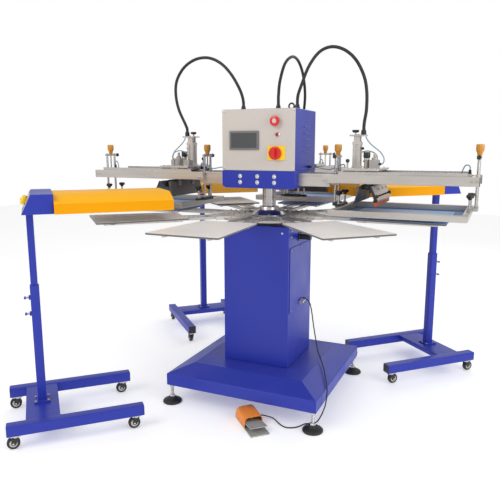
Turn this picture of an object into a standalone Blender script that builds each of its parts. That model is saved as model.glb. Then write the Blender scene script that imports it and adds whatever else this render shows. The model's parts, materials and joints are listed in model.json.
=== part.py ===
"""An eight-station screen printing carousel with three print heads and three flash dryers on stands.

Metres, +Z up. The carousel's axis is the world Z axis and the floor is z = 0. The control panel
faces -Y. A head or a dryer is built in its own frame: +X points away from the axis, +Y to the left.
"""

import math

import bmesh
import bpy
from mathutils import Matrix, Vector

GAP = 0.0003
ROUND = 24
MID_ROUND = 16
SMALL_ROUND = 12

# Base and column
BASE_SIDE = 0.786
SKIRT_LOW = 0.094
SKIRT_TOP = 0.154
DECK_SIDE = 0.577
DECK_TOP = 0.193
BASE_PLATE = 0.010
FOOT_INSET = 0.020
FOOT_RADIUS = 0.048
COLUMN_SIDE = 0.346
COLUMN_TOP = 0.900
COLUMN_WALL = 0.005
PANEL_LOW = 0.470
PANEL_HIGH = 0.795
PANEL_HALF = 0.158
INDEX_PLACE = (-0.020, 0.836)
INDEX_RADIUS = 0.014
CORD_EXIT = (0.050, 0.494)
CORD_GLAND = 0.016

# Carousel
SHAFT_RADIUS = 0.034
SHAFT_LOW = 0.600
FLANGE_RADIUS = 0.072
FLANGE_HIGH = 0.045
HUB_RADIUS = 0.260
HUB_LOW = 0.9250
HUB_TOP = 0.9345
ARM_TOP = 0.9445
STATIONS = 8
BAR_INNER = 0.150
BAR_OUTER = 0.787
BAR_OUT = 0.038
BAR_HALF = 0.009
PALLET_INNER = 0.455
PALLET_OUTER = 0.877
PALLET_INNER_HALF = 0.130
PALLET_OUTER_HALF = 0.160
PALLET_THICK = 0.008

# Head mount and control box
MOUNT_HALF = 0.190
MOUNT_FRONT = -0.1465
MOUNT_BACK = 0.1570
MOUNT_LOW = 1.079
BOX_LOW = 1.164
BOX_TOP = 1.455
BOX_WALL = 0.003
SHEET = 0.003
STOP_PLACE = (0.093, 1.396)
LAMP_PLACE = (0.101, 1.334)
SWITCH_PLACE = (0.092, 1.248)
GLAND_OUT = {"left": -0.143, "back": 0.046, "right": 0.145}
GLAND_HIGH = 0.024

# Print heads
HEADS = {"right": 0, "left": 180, "back": 90}
ARM_END = 0.345
ARM_LOW = 1.093
BEAM_START = 0.315
BEAM_END = 0.994
BEAM_LOW = 1.112
BEAM_TOP = 1.152
BEAM_OUT = 0.125
BEAM_WIDE = 0.025
RAIL_TOP = 1.166
RAIL_END = 0.945
RAIL_HALF = 0.006
INNER_ADJUSTER = 0.363
OUTER_ADJUSTER = 0.975
ROD_RADIUS = 0.006
ROD_HALF = 0.033
YOKE_LOW = 1.228
SCREEN_INNER = 0.378
SCREEN_OUTER = 0.965
SCREEN_HALF = 0.240
SCREEN_TUBE = 0.025
SCREEN_LOW = 0.972
SCREEN_TOP = 1.000
CARRIAGE_INNER = 0.405
CARRIAGE_OUTER = 0.575
CARRIAGE_LOW = 1.170
CARRIAGE_TOP = 1.180
LIFT_AT = 0.447
LIFT_TOP = 1.300
LIFT_SCREW_AT = 0.436
LIFT_SCREW_TOP = 1.3555
HOSE_AT = 0.474
HOSE_END = 1.356
GUIDE_AT = 0.520
SQUEEGEE_HALF = 0.165
BLADE_LOW = 1.014

# Flash dryers: name, angle in degrees, post's distance from the axis, height of the heater's underside
DRYERS = (("front", -135, 1.145, 1.000), ("right", 45, 1.045, 1.024), ("rear", 135, 1.240, 1.000))
TUBE_LOW = 0.064
TUBE_TOP = 0.112
TUBE_WIDE = 0.050
STAND_HALF = 0.205
STAND_INNER = -0.435
STAND_OUTER = 0.150
POST_OUTSIDE = 0.040
POST_TOP = 0.666
MAST_SIDE = 0.030
MAST_LOW = 0.400
HEATER_HALF = 0.190
HEATER_TOP_HALF = 0.115
HEATER_SIDE = 0.045
HEATER_HIGH = 0.079
HEATER_INNER = -0.605
HEATER_OUTER = -0.100
CONTROL_HALF = 0.172
CONTROL_HIGH = 0.084
CLAMP_SCREWS = (0.534, 0.609)
CASTERS = ((-0.400, -0.205), (-0.400, 0.205), (0.115, -0.205), (0.115, 0.205))
CASTER_TRAIL = 0.010
WHEEL_RADIUS = 0.0275
WHEEL_HALF = 0.010

# Hoses and cord
HOSE_RADIUS = 0.0075
CORD_RADIUS = 0.003

# Foot switch
PEDAL_PLACE = (0.100, -0.440)
PEDAL_TURN = -45
PEDAL_LONG = 0.210
PEDAL_HALF = 0.046
PEDAL_GLAND = (-0.040, 0.022)
PEDAL_GLAND_LONG = 0.012


def clear_scene():
    for obj in list(bpy.data.objects):
        bpy.data.objects.remove(obj, do_unlink=True)


def material(name, colour, roughness, metallic=0.0):
    made = bpy.data.materials.new(name)
    made.use_nodes = True
    shader = made.node_tree.nodes["Principled BSDF"]
    shader.inputs["Base Color"].default_value = (*colour, 1)
    shader.inputs["Roughness"].default_value = roughness
    shader.inputs["Metallic"].default_value = metallic
    made.diffuse_color = (*colour, 1)
    return made


def to_mesh(bm):
    bmesh.ops.recalc_face_normals(bm, faces=bm.faces)
    mesh = bpy.data.meshes.new("shape")
    bm.to_mesh(mesh)
    bm.free()
    return mesh


def box(low, high, bevel=0.0):
    """A box from its lowest to its highest corner, with its edges bevelled if asked."""
    low, high = Vector(low), Vector(high)
    bm = bmesh.new()
    place = Matrix.Translation((low + high) / 2) @ Matrix.Diagonal((*(high - low), 1))
    bmesh.ops.create_cube(bm, size=1, matrix=place)
    if bevel:
        bmesh.ops.bevel(bm, geom=bm.edges[:], offset=bevel, segments=1, affect="EDGES")
    return to_mesh(bm)


def rod(start, end, radius, end_radius=None, sides=SMALL_ROUND):
    """A round bar or cone between two points."""
    start, end = Vector(start), Vector(end)
    along = end - start
    turn = Vector((0, 0, 1)).rotation_difference(along).to_matrix().to_4x4()
    bm = bmesh.new()
    bmesh.ops.create_cone(
        bm,
        cap_ends=True,
        segments=sides,
        radius1=radius,
        radius2=radius if end_radius is None else end_radius,
        depth=along.length,
        matrix=Matrix.Translation((start + end) / 2) @ turn,
    )
    return to_mesh(bm)


def turned(profile, centre=(0, 0), sides=ROUND):
    """The (radius, height) profile, from the axis round to the axis, turned about a vertical axis."""
    bm = bmesh.new()
    points = [bm.verts.new((radius, 0, height)) for radius, height in profile]
    edges = [bm.edges.new(pair) for pair in zip(points, points[1:])]
    bmesh.ops.spin(
        bm, geom=points + edges, cent=(0, 0, 0), axis=(0, 0, 1), angle=math.tau, steps=sides
    )
    bmesh.ops.remove_doubles(bm, verts=bm.verts, dist=0.00001)
    bmesh.ops.translate(bm, verts=bm.verts, vec=(*centre, 0))
    return to_mesh(bm)


def prism(outline, start, end, axes="xz"):
    """An outline in two of the axes, extruded from start to end along the third."""
    order = {"xz": (0, 2, 1), "yz": (1, 2, 0), "xy": (0, 1, 2)}[axes]
    bm = bmesh.new()
    corners = []
    for first, second in outline:
        point = [0, 0, 0]
        point[order[0]] = first
        point[order[1]] = second
        point[order[2]] = start
        corners.append(bm.verts.new(point))
    face = bm.faces.new(corners)
    grown = bmesh.ops.extrude_face_region(bm, geom=[face])["geom"]
    shift = [0, 0, 0]
    shift[order[2]] = end - start
    moved = [item for item in grown if isinstance(item, bmesh.types.BMVert)]
    bmesh.ops.translate(bm, verts=moved, vec=shift)
    return to_mesh(bm)


def stacked(rings):
    """Rectangular rings, each (half length, half width, height), bridged and capped into one solid."""
    bm = bmesh.new()
    signs = ((-1, -1), (1, -1), (1, 1), (-1, 1))
    loops = [[bm.verts.new((a * x, b * y, z)) for a, b in signs] for x, y, z in rings]
    for lower, upper in zip(loops, loops[1:]):
        for i in range(len(signs)):
            j = (i + 1) % len(signs)
            bm.faces.new((lower[i], lower[j], upper[j], upper[i]))
    bm.faces.new(loops[0])
    bm.faces.new(loops[-1])
    return to_mesh(bm)


def moved(mesh, offset=(0, 0, 0), turn=0.0, axis="Z"):
    """The mesh turned by degrees about an axis through the origin, then shifted."""
    mesh.transform(Matrix.Translation(offset) @ Matrix.Rotation(math.radians(turn), 4, axis))
    return mesh


def boolean(first, others, operation):
    """One mesh made by joining or cutting closed meshes, one after the other."""
    base = bpy.data.objects.new("base", first)
    bpy.context.scene.collection.objects.link(base)
    tools = []
    for mesh in others:
        tool = bpy.data.objects.new("tool", mesh)
        bpy.context.scene.collection.objects.link(tool)
        step = base.modifiers.new(operation.lower(), "BOOLEAN")
        step.operation = operation
        step.object = tool
        tools.append(tool)
    bpy.context.view_layer.update()
    graph = bpy.context.evaluated_depsgraph_get()
    result = bpy.data.meshes.new_from_object(base.evaluated_get(graph))
    for obj in [base, *tools]:
        bpy.data.objects.remove(obj, do_unlink=True)
    return result


def shape(add, cut=()):
    """One mesh made by joining the first meshes and then cutting the others from it."""
    mesh = add[0] if len(add) == 1 else boolean(add[0], add[1:], "UNION")
    return boolean(mesh, cut, "DIFFERENCE") if cut else mesh


def place(name, mesh, finish, parent=None, location=(0, 0, 0), turn=0.0):
    """One named sub-part."""
    obj = bpy.data.objects.new(name, mesh)
    bpy.context.scene.collection.objects.link(obj)
    mesh.materials.clear()
    mesh.materials.append(finish)
    mesh.shade_smooth()
    mesh.set_sharp_from_angle(angle=math.radians(35))
    obj.parent = parent
    obj.location = location
    obj.rotation_euler[2] = math.radians(turn)
    return obj


def empty(name, location=(0, 0, 0), turn=0.0):
    """The frame of a head, a dryer or the foot switch, turned about the vertical."""
    obj = bpy.data.objects.new(name, None)
    bpy.context.scene.collection.objects.link(obj)
    obj.location = location
    obj.rotation_euler[2] = math.radians(turn)
    return obj


def tube(name, points, radius, finish, steps):
    """A hose or cord along a smooth curve through its route's points, straight at both ends."""
    route = [Vector(p) for p in points]
    ends = [route[0] * 2 - route[1], *route, route[-1] * 2 - route[-2]]
    smooth = [route[0], route[1]]
    for a, b, c, d in list(zip(ends, ends[1:], ends[2:], ends[3:]))[1:-1]:
        for i in range(1, steps + 1):
            t = i / steps
            smooth.append(
                0.5
                * (
                    2 * b
                    + (c - a) * t
                    + (2 * a - 5 * b + 4 * c - d) * t**2
                    + (3 * b - a - 3 * c + d) * t**3
                )
            )
    smooth.append(route[-1])
    curve = bpy.data.curves.new(name, "CURVE")
    curve.dimensions = "3D"
    curve.bevel_depth = radius
    curve.bevel_resolution = 2
    curve.use_fill_caps = True
    spline = curve.splines.new("POLY")
    spline.points.add(len(smooth) - 1)
    for point, where in zip(spline.points, smooth):
        point.co = (*where, 1)
    curve.materials.append(finish)
    obj = bpy.data.objects.new(name, curve)
    bpy.context.scene.collection.objects.link(obj)
    return obj


def build_base(blue, black):
    """A plinth of plate with a hollow underside and a thick rim that takes the four feet."""
    half, deck = BASE_SIDE / 2, DECK_SIDE / 2
    rim = half - 0.040
    plinth = stacked(
        (
            (deck - 0.020, deck - 0.020, DECK_TOP - BASE_PLATE),
            (rim, rim, SKIRT_TOP - BASE_PLATE),
            (rim, rim, SKIRT_LOW),
            (half, half, SKIRT_LOW),
            (half, half, SKIRT_TOP),
            (deck, deck, DECK_TOP),
        )
    )
    place("base_plinth", plinth, blue)
    foot = (
        (0, 0),
        (FOOT_RADIUS, 0),
        (FOOT_RADIUS, 0.007),
        (FOOT_RADIUS * 0.9, 0.014),
        (0.024, 0.022),
        (0.014, 0.025),
        (0.014, 0.034),
        (0.008, 0.034),
        (0.008, 0.076),
        (0.014, 0.076),
        (0.014, SKIRT_LOW - GAP),
        (0, SKIRT_LOW - GAP),
    )
    out = half - FOOT_INSET
    corners = {
        "front_left": (-out, -out),
        "front_right": (out, -out),
        "back_right": (out, out),
        "back_left": (-out, out),
    }
    for name, (x, y) in corners.items():
        place("levelling_foot_" + name, turned(foot, sides=MID_ROUND), black, location=(x, y, 0))


def build_column(blue, steel, black):
    """A hollow square column with its cover, bearing, shaft and the index cylinder."""
    half = COLUMN_SIDE / 2
    low = DECK_TOP + GAP
    inner = half - COLUMN_WALL
    column = shape(
        [box((-half, -half, low), (half, half, COLUMN_TOP))],
        [
            box((-inner, -inner, low - 0.1), (inner, inner, COLUMN_TOP - 0.008)),
            rod((0, 0, COLUMN_TOP - 0.05), (0, 0, COLUMN_TOP + 0.05), 0.070, sides=ROUND),
            box((inner - 0.05, -0.140, PANEL_LOW + 0.02), (half + 0.05, 0.140, PANEL_HIGH - 0.02)),
            rod((inner - 0.05, *INDEX_PLACE), (half + 0.05, *INDEX_PLACE), INDEX_RADIUS),
        ],
    )
    place("column", column, blue)
    front = half + GAP
    cover = box((front, -PANEL_HALF, PANEL_LOW), (front + SHEET, PANEL_HALF, PANEL_HIGH))
    y, z = CORD_EXIT
    gland = rod((front + 0.001, y, z), (front + SHEET + CORD_GLAND, y, z), 0.008)
    place("access_panel", shape([cover, gland]), blue)
    bearing = (
        (SHAFT_RADIUS + GAP, COLUMN_TOP - 0.030),
        (0.069, COLUMN_TOP - 0.030),
        (0.069, COLUMN_TOP + GAP),
        (0.100, COLUMN_TOP + GAP),
        (0.100, COLUMN_TOP + 0.010),
        (0.066, COLUMN_TOP + 0.012),
        (0.066, HUB_LOW - 0.001),
        (SHAFT_RADIUS + GAP, HUB_LOW - 0.001),
        (SHAFT_RADIUS + GAP, COLUMN_TOP - 0.030),
    )
    place("bearing_housing", turned(bearing), steel)
    flange = HUB_TOP + GAP
    shaft = (
        (0, SHAFT_LOW),
        (SHAFT_RADIUS, SHAFT_LOW),
        (SHAFT_RADIUS, flange),
        (FLANGE_RADIUS + 0.018, flange),
        (FLANGE_RADIUS + 0.014, flange + 0.008),
        (FLANGE_RADIUS, flange + 0.022),
        (FLANGE_RADIUS - 0.022, flange + 0.030),
        (FLANGE_RADIUS - 0.022, flange + FLANGE_HIGH),
        (SHAFT_RADIUS, flange + FLANGE_HIGH + 0.004),
        (SHAFT_RADIUS, MOUNT_LOW + 0.060),
        (0, MOUNT_LOW + 0.060),
    )
    place("main_shaft", turned(shaft), steel)
    y, z = INDEX_PLACE
    barrel = rod((0.060, y, z), (half + 0.010, y, z), INDEX_RADIUS - 0.004)
    bracket = box((half + GAP, y - 0.024, z - 0.018), (half + 0.006, y + 0.024, z + 0.018))
    body = rod((half + 0.004, y, z), (half + 0.062, y, z), INDEX_RADIUS)
    place("index_cylinder", shape([body, bracket, barrel]), black)


def build_carousel(steel, light):
    """A disc with a pair of bars for each station, and a flat pallet on each pair."""
    disc = (
        (SHAFT_RADIUS + GAP, HUB_LOW),
        (HUB_RADIUS, HUB_LOW),
        (HUB_RADIUS, HUB_TOP),
        (SHAFT_RADIUS + GAP, HUB_TOP),
        (SHAFT_RADIUS + GAP, HUB_LOW),
    )
    bars = []
    for station in range(STATIONS):
        turn = 360 * station / STATIONS
        for side in (-1, 1):
            low = (BAR_INNER, side * BAR_OUT - BAR_HALF, HUB_TOP - 0.004)
            high = (BAR_OUTER, side * BAR_OUT + BAR_HALF, ARM_TOP)
            bars.append(moved(box(low, high), turn=turn))
        tie = box((0.300, -BAR_OUT, HUB_TOP - 0.003), (0.330, BAR_OUT, ARM_TOP - 0.003))
        bars.append(moved(tie, turn=turn))
    place("carousel_hub", shape([turned(disc, sides=32), *bars]), steel)
    nick = 0.006
    outline = (
        (PALLET_INNER, -PALLET_INNER_HALF),
        (PALLET_OUTER - nick, -PALLET_OUTER_HALF),
        (PALLET_OUTER, -PALLET_OUTER_HALF + nick),
        (PALLET_OUTER, PALLET_OUTER_HALF - nick),
        (PALLET_OUTER - nick, PALLET_OUTER_HALF),
        (PALLET_INNER, PALLET_INNER_HALF),
    )
    low = ARM_TOP + GAP
    for station in range(STATIONS):
        plate = prism(outline, low, low + PALLET_THICK, axes="xy")
        name = "pallet_" + str(station + 1)
        place(name, plate, light, turn=-90 + 360 * station / STATIONS)


def build_mount(blue):
    """A tray on the shaft's top end, with a thick front plate, that carries the box and the arms."""
    low = MOUNT_LOW
    top = BOX_LOW - GAP
    half = MOUNT_HALF
    corner = 0.016
    front_plate = prism(
        (
            (-half, top),
            (-half, low + corner),
            (-half + corner, low),
            (half - corner / 2, low),
            (half, low + corner / 2),
            (half, top),
        ),
        MOUNT_FRONT - 0.005,
        MOUNT_FRONT + 0.001,
    )
    inside = half - 0.006
    tray = box((-half, MOUNT_FRONT, low + 0.004), (half, MOUNT_BACK, top))
    room = box((-inside, MOUNT_FRONT + 0.006, low + 0.012), (inside, MOUNT_BACK - 0.006, top + 0.1))
    bore = rod((0, 0, low - 0.1), (0, 0, low + 0.1), SHAFT_RADIUS + GAP, sides=ROUND)
    place("head_mount", shape([tray, front_plate], [room, bore]), blue)


def build_box(blue):
    """A sheet-metal case, open at the front, with louvres on its right side and three hose glands."""
    side = MOUNT_HALF - 0.001
    wall = BOX_WALL
    case = box((-side, MOUNT_FRONT, BOX_LOW), (side, MOUNT_BACK, BOX_TOP), bevel=0.002)
    room = box(
        (-side + wall, MOUNT_FRONT - 0.01, BOX_LOW + wall),
        (side - wall, MOUNT_BACK - wall, BOX_TOP - wall),
    )
    gland = (
        (0, BOX_TOP - 0.002),
        (0.012, BOX_TOP - 0.002),
        (0.012, BOX_TOP + 0.010),
        (0.0105, BOX_TOP + 0.010),
        (0.0095, BOX_TOP + GLAND_HIGH),
        (0, BOX_TOP + GLAND_HIGH),
    )
    glands = [turned(gland, centre=(x, 0), sides=SMALL_ROUND) for x in GLAND_OUT.values()]
    louvres = [
        box((side - 0.002, -0.020, height), (side + 0.0035, 0.068, height + 0.005))
        for height in (1.251, 1.280, 1.310, 1.340, 1.370)
    ]
    place("control_box", shape([case, *glands, *louvres], [room]), blue)


def build_panel(grey, red):
    """The front panel with its display frame, lamp and switch bases, and the two parts that move."""
    side = MOUNT_HALF - 0.001
    back = MOUNT_FRONT - GAP
    front = back - SHEET
    root = front + 0.001
    x, z = STOP_PLACE
    stop_base = rod((x, root, z), (x, front - 0.006, z), 0.017, sides=ROUND)
    stop = rod((0, -0.0005, 0), (0, -0.013, 0), 0.024, 0.0215, sides=ROUND)
    place("emergency_stop", stop, red, location=(x, front - 0.0115, z))
    x, z = LAMP_PLACE
    lamp = rod((x, root, z), (x, front - 0.007, z), 0.010, sides=MID_ROUND)
    x, z = SWITCH_PLACE
    switch_base = box((x - 0.039, front - 0.003, z - 0.032), (x + 0.048, root, z + 0.033))
    knob = rod((0, -GAP, 0), (0, -0.012, 0), 0.031, 0.029, sides=ROUND)
    grip = box((-0.006, -0.030, -0.028), (0.006, -0.010, 0.028), bevel=0.002)
    place("main_switch_knob", shape([knob, grip]), red, location=(x, front - 0.003 - GAP, z))
    sheet = box((-side, front, BOX_LOW + 0.001), (side, back, BOX_TOP - 0.001))
    display = box((-0.145, front - 0.006, 1.266), (0.004, root, 1.350), bevel=0.002)
    place("box_front_panel", shape([sheet, display, switch_base, stop_base, lamp]), grey)


def build_head(name, turn, aluminium, mesh_blue):
    """A print head: the arm, the beams, the screen with its clamps, the carriage and the squeegee."""
    frame = empty("head_" + name + "_axis", turn=turn)
    reach = MOUNT_HALF if turn % 180 == 0 else MOUNT_BACK
    build_arm(name, frame, reach + GAP, aluminium)
    build_head_frame(name, frame, aluminium)
    build_clamp("inner_clamp_" + name, frame, INNER_ADJUSTER, 1, aluminium)
    build_clamp("outer_clamp_" + name, frame, OUTER_ADJUSTER, -1, aluminium)
    build_screen(name, frame, mesh_blue)
    build_carriage(name, frame, aluminium)
    build_squeegee(name, frame, aluminium)


def build_arm(name, frame, start, aluminium):
    """Two slotted profiles joined by a plate that bolts to the head mount."""
    out = BEAM_OUT - BEAM_WIDE - GAP
    bars = []
    slots = []
    for side in (-1, 1):
        near, far = sorted((side * (out - 0.030), side * out))
        bars.append(box((start, near, ARM_LOW), (ARM_END, far, BEAM_TOP)))
        face = side * out
        slots.append(box((start + 0.010, face - 0.004, 1.136), (ARM_END + 0.1, face + 0.004, 1.142)))
    plate = box((start, -out + 0.001, ARM_LOW + 0.001), (start + 0.008, out - 0.001, BEAM_TOP - 0.001))
    place("head_arm_" + name, shape([*bars, plate], slots), aluminium, parent=frame)


def build_head_frame(name, frame, aluminium):
    """Two beams, each with a rail on top, joined by an inner and an outer cross-member."""
    out, inside = BEAM_OUT, BEAM_OUT - BEAM_WIDE
    pieces = []
    for side in (-1, 1):
        near, far = sorted((side * inside, side * out))
        pieces.append(box((BEAM_START, near, BEAM_LOW), (BEAM_END, far, BEAM_TOP)))
        middle = (near + far) / 2
        rail_low = (CARRIAGE_INNER - 0.015, middle - RAIL_HALF, BEAM_TOP - 0.001)
        pieces.append(box(rail_low, (RAIL_END, middle + RAIL_HALF, RAIL_TOP)))
    for centre in (INNER_ADJUSTER + 0.002, OUTER_ADJUSTER - 0.002):
        cross = box(
            (centre - 0.012, -inside - 0.002, BEAM_LOW + 0.002),
            (centre + 0.012, inside + 0.002, BEAM_TOP - 0.002),
        )
        pieces.append(cross)
    low, high = BEAM_LOW - 0.1, BEAM_TOP + 0.1
    holes = [
        rod((centre, side * ROD_HALF, low), (centre, side * ROD_HALF, high), ROD_RADIUS + GAP)
        for centre in (INNER_ADJUSTER, OUTER_ADJUSTER)
        for side in (-1, 1)
    ]
    place("head_frame_" + name, shape(pieces, holes), aluminium, parent=frame)


def build_clamp(name, frame, at, inward, aluminium):
    """Two rods through the frame, a yoke and knob on top, and a jaw that holds the screen's end."""
    low, high = SCREEN_TOP + 0.008, YOKE_LOW + 0.004
    rods = [
        rod((at, side * ROD_HALF, low), (at, side * ROD_HALF, high), ROD_RADIUS) for side in (-1, 1)
    ]
    yoke_half = ROD_HALF + 0.013
    yoke = box((at - 0.009, -yoke_half, YOKE_LOW), (at + 0.009, yoke_half, YOKE_LOW + 0.009))
    knob = rod((at, 0, YOKE_LOW + 0.005), (at, 0, YOKE_LOW + 0.026), 0.007)
    grip = rod((at, 0, YOKE_LOW + 0.020), (at, 0, YOKE_LOW + 0.062), 0.011, 0.0175, sides=MID_ROUND)
    jaw_end = at + inward * 0.036
    low, high = sorted((at - inward * 0.009, jaw_end))
    jaw = box((low, -0.075, SCREEN_TOP + GAP), (high, 0.075, SCREEN_TOP + 0.016))
    knobs = []
    for side in (-1, 1):
        x, y = jaw_end - inward * 0.011, side * 0.058
        knobs.append(rod((x, y, SCREEN_TOP + 0.012), (x, y, SCREEN_TOP + 0.062), 0.005))
        knobs.append(rod((x, y, SCREEN_TOP + 0.058), (x, y, SCREEN_TOP + 0.074), 0.017, 0.014))
    place(name, shape([jaw, *rods, yoke, knob, grip, *knobs]), aluminium, parent=frame)


def build_screen(name, frame, mesh_blue):
    """A frame of square tube with its stretched mesh, open at the top as a shallow tray."""
    wide = SCREEN_TUBE
    outer = box((SCREEN_INNER, -SCREEN_HALF, SCREEN_LOW), (SCREEN_OUTER, SCREEN_HALF, SCREEN_TOP))
    well = box(
        (SCREEN_INNER + wide, -SCREEN_HALF + wide, SCREEN_LOW + 0.0015),
        (SCREEN_OUTER - wide, SCREEN_HALF - wide, SCREEN_TOP + 0.1),
    )
    place("screen_" + name, shape([outer], [well]), mesh_blue, parent=frame)


def build_carriage(name, frame, aluminium):
    """A bridge on the two rails with the lift cylinder, two valves and the hose gland on it."""
    low, top = CARRIAGE_LOW, CARRIAGE_TOP
    root = top - 0.002
    bridge = box((CARRIAGE_INNER, -BEAM_OUT, low), (CARRIAGE_OUTER, BEAM_OUT, top))
    blocks = []
    for side in (-1, 1):
        middle = side * (BEAM_OUT - BEAM_WIDE / 2)
        block_low = (CARRIAGE_INNER + 0.010, middle - 0.011, low - 0.0035)
        blocks.append(box(block_low, (CARRIAGE_OUTER - 0.010, middle + 0.011, low + 0.002)))
    lift = box((LIFT_AT - 0.020, -0.024, root), (LIFT_AT + 0.020, 0.024, LIFT_TOP), bevel=0.003)
    plate_low = LIFT_TOP + 0.026
    neck = box((LIFT_AT - 0.014, -0.021, LIFT_TOP - 0.010), (LIFT_AT + 0.014, 0.021, plate_low + 0.004))
    head = box((LIFT_AT - 0.032, -0.030, plate_low), (LIFT_AT + 0.042, 0.030, plate_low + 0.007))
    knob_low = LIFT_SCREW_TOP - 0.0135
    screw = rod((LIFT_SCREW_AT, 0, plate_low + 0.004), (LIFT_SCREW_AT, 0, knob_low + 0.002), 0.004)
    knob = rod((LIFT_SCREW_AT, 0, knob_low), (LIFT_SCREW_AT, 0, LIFT_SCREW_TOP), 0.014, 0.017)
    gland = rod((HOSE_AT, 0, plate_low + 0.005), (HOSE_AT, 0, HOSE_END), 0.012, 0.010, sides=MID_ROUND)
    valve = rod((0.492, 0.004, root), (0.492, 0.004, 1.230), 0.013, sides=MID_ROUND)
    cap = rod((0.492, 0.004, 1.226), (0.492, 0.004, 1.254), 0.016, sides=MID_ROUND)
    small = box((0.508, -0.020, root), (0.552, 0.020, 1.218), bevel=0.002)
    spigot = rod((0.530, 0, 1.216), (0.530, 0, 1.244), 0.006)
    pieces = [bridge, *blocks, lift, neck, head, screw, knob, gland, valve, cap, small, spigot]
    place("carriage_" + name, shape(pieces), aluminium, parent=frame)


def build_squeegee(name, frame, aluminium):
    """Two guide rods, a cross block, the tilted squeegee holder with its blade and the flood bar."""
    top = CARRIAGE_LOW - 0.0045
    rods = [
        rod((GUIDE_AT, side * 0.060, 1.100), (GUIDE_AT, side * 0.060, top), 0.008) for side in (-1, 1)
    ]
    block = box((GUIDE_AT - 0.030, -0.085, 1.085), (GUIDE_AT + 0.028, 0.085, 1.106))
    holder = prism(
        (
            (0.536, 1.098),
            (0.552, 1.104),
            (0.584, 1.040),
            (0.583, 1.032),
            (0.5760, BLADE_LOW),
            (0.5690, BLADE_LOW),
            (0.5690, 1.030),
            (0.560, 1.036),
        ),
        -SQUEEGEE_HALF,
        SQUEEGEE_HALF,
    )
    flood = prism(
        ((0.486, 1.100), (0.498, 1.100), (0.492, 1.060), (0.478, 1.024), (0.474, 1.026), (0.484, 1.060)),
        -SQUEEGEE_HALF + 0.004,
        SQUEEGEE_HALF - 0.004,
    )
    place("squeegee_" + name, shape([block, *rods, holder, flood]), aluminium, parent=frame)


def caster(x, y):
    """The plate, fork and wheel under one end of a dryer's leg."""
    plate = box((x - 0.022, y - 0.020, TUBE_LOW - 0.005), (x + 0.022, y + 0.020, TUBE_LOW + 0.003))
    fork = box((x - 0.012, y - 0.016, WHEEL_RADIUS - 0.0035), (x + 0.018, y + 0.016, TUBE_LOW))
    axle, high = x + CASTER_TRAIL, WHEEL_RADIUS
    ends = ((axle, y - WHEEL_HALF, high), (axle, y + WHEEL_HALF, high))
    return [plate, fork, rod(*ends, WHEEL_RADIUS, sides=MID_ROUND)]


def build_dryer(name, turn, distance, height, blue, yellow):
    """A heater on a mast that slides in the post of a wheeled stand."""
    angle = math.radians(turn)
    frame = empty(
        "dryer_" + name + "_axis",
        location=(distance * math.cos(angle), distance * math.sin(angle), 0),
        turn=turn,
    )
    half = TUBE_WIDE / 2
    side = POST_OUTSIDE / 2
    pieces = [
        box((-0.072, -STAND_HALF, TUBE_TOP - 0.012), (0.072, STAND_HALF, TUBE_TOP - 0.002)),
        box((-0.036, -0.036, TUBE_TOP - 0.005), (0.036, 0.036, TUBE_TOP + 0.006)),
        box((-side, -side, TUBE_TOP - 0.010), (side, side, POST_TOP)),
    ]
    for middle in (-STAND_HALF, STAND_HALF):
        low = (STAND_INNER, middle - half, TUBE_LOW)
        pieces.append(box(low, (STAND_OUTER, middle + half, TUBE_TOP)))
    for high in CLAMP_SCREWS:
        pieces.append(rod((side - 0.004, 0, high), (side + 0.026, 0, high), 0.005))
        pieces.append(box((side + 0.020, -0.013, high - 0.004), (side + 0.028, 0.013, high + 0.004)))
    for x, y in CASTERS:
        pieces.extend(caster(x, y))
    bore = MAST_SIDE / 2 + 2 * GAP
    bores = [box((-bore, -bore, TUBE_TOP + 0.02), (bore, bore, POST_TOP + 0.1))]
    place("dryer_stand_" + name, shape(pieces, bores), blue, parent=frame)
    mast = MAST_SIDE / 2
    top = height - GAP
    tube_mesh = box((-mast, -mast, MAST_LOW), (mast, mast, top))
    plate = box((-0.030, -0.045, top - 0.005), (0.012, 0.045, top))
    place("dryer_mast_" + name, shape([tube_mesh, plate]), blue, parent=frame)
    build_heater(name, frame, height, yellow)


def heater_outline(height, inset):
    """The cover's folded section, or that of its inside, which runs on downwards and out."""
    half, roof = HEATER_HALF - inset, HEATER_TOP_HALF - inset / 2
    low = height - 0.1 * (inset > 0)
    return (
        (-half, low),
        (-half, height + HEATER_SIDE - inset / 3),
        (-roof, height + HEATER_HIGH - inset),
        (roof, height + HEATER_HIGH - inset),
        (half, height + HEATER_SIDE - inset / 3),
        (half, low),
    )


def control_outline(height, inset):
    """The control housing's side view, or that of its inside, which runs into the cover's inside."""
    start = HEATER_OUTER - 0.004 - inset * 4
    return (
        (start, height + inset),
        (0.030 - inset * 1.6, height + inset),
        (-0.010 - inset, height + CONTROL_HIGH - inset),
        (start, height + CONTROL_HIGH - inset),
    )


def build_heater(name, frame, height, yellow):
    """A folded cover, open below, and a control housing with a sloping end, whose insides meet."""
    wall = SHEET
    cover = prism(heater_outline(height, 0), HEATER_INNER, HEATER_OUTER, axes="yz")
    cavity = prism(heater_outline(height, wall), HEATER_INNER + wall, HEATER_OUTER - wall, axes="yz")
    control = prism(control_outline(height, 0), -CONTROL_HALF, CONTROL_HALF)
    inside = prism(control_outline(height, wall), -CONTROL_HALF + wall, CONTROL_HALF - wall)
    knob = rod((0.006, 0.135, height + 0.045), (0.036, 0.135, height + 0.060), 0.020)
    housing = shape([cover, control, knob], [cavity])
    place("dryer_heater_" + name, boolean(housing, [inside], "DIFFERENCE"), yellow, parent=frame)


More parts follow.
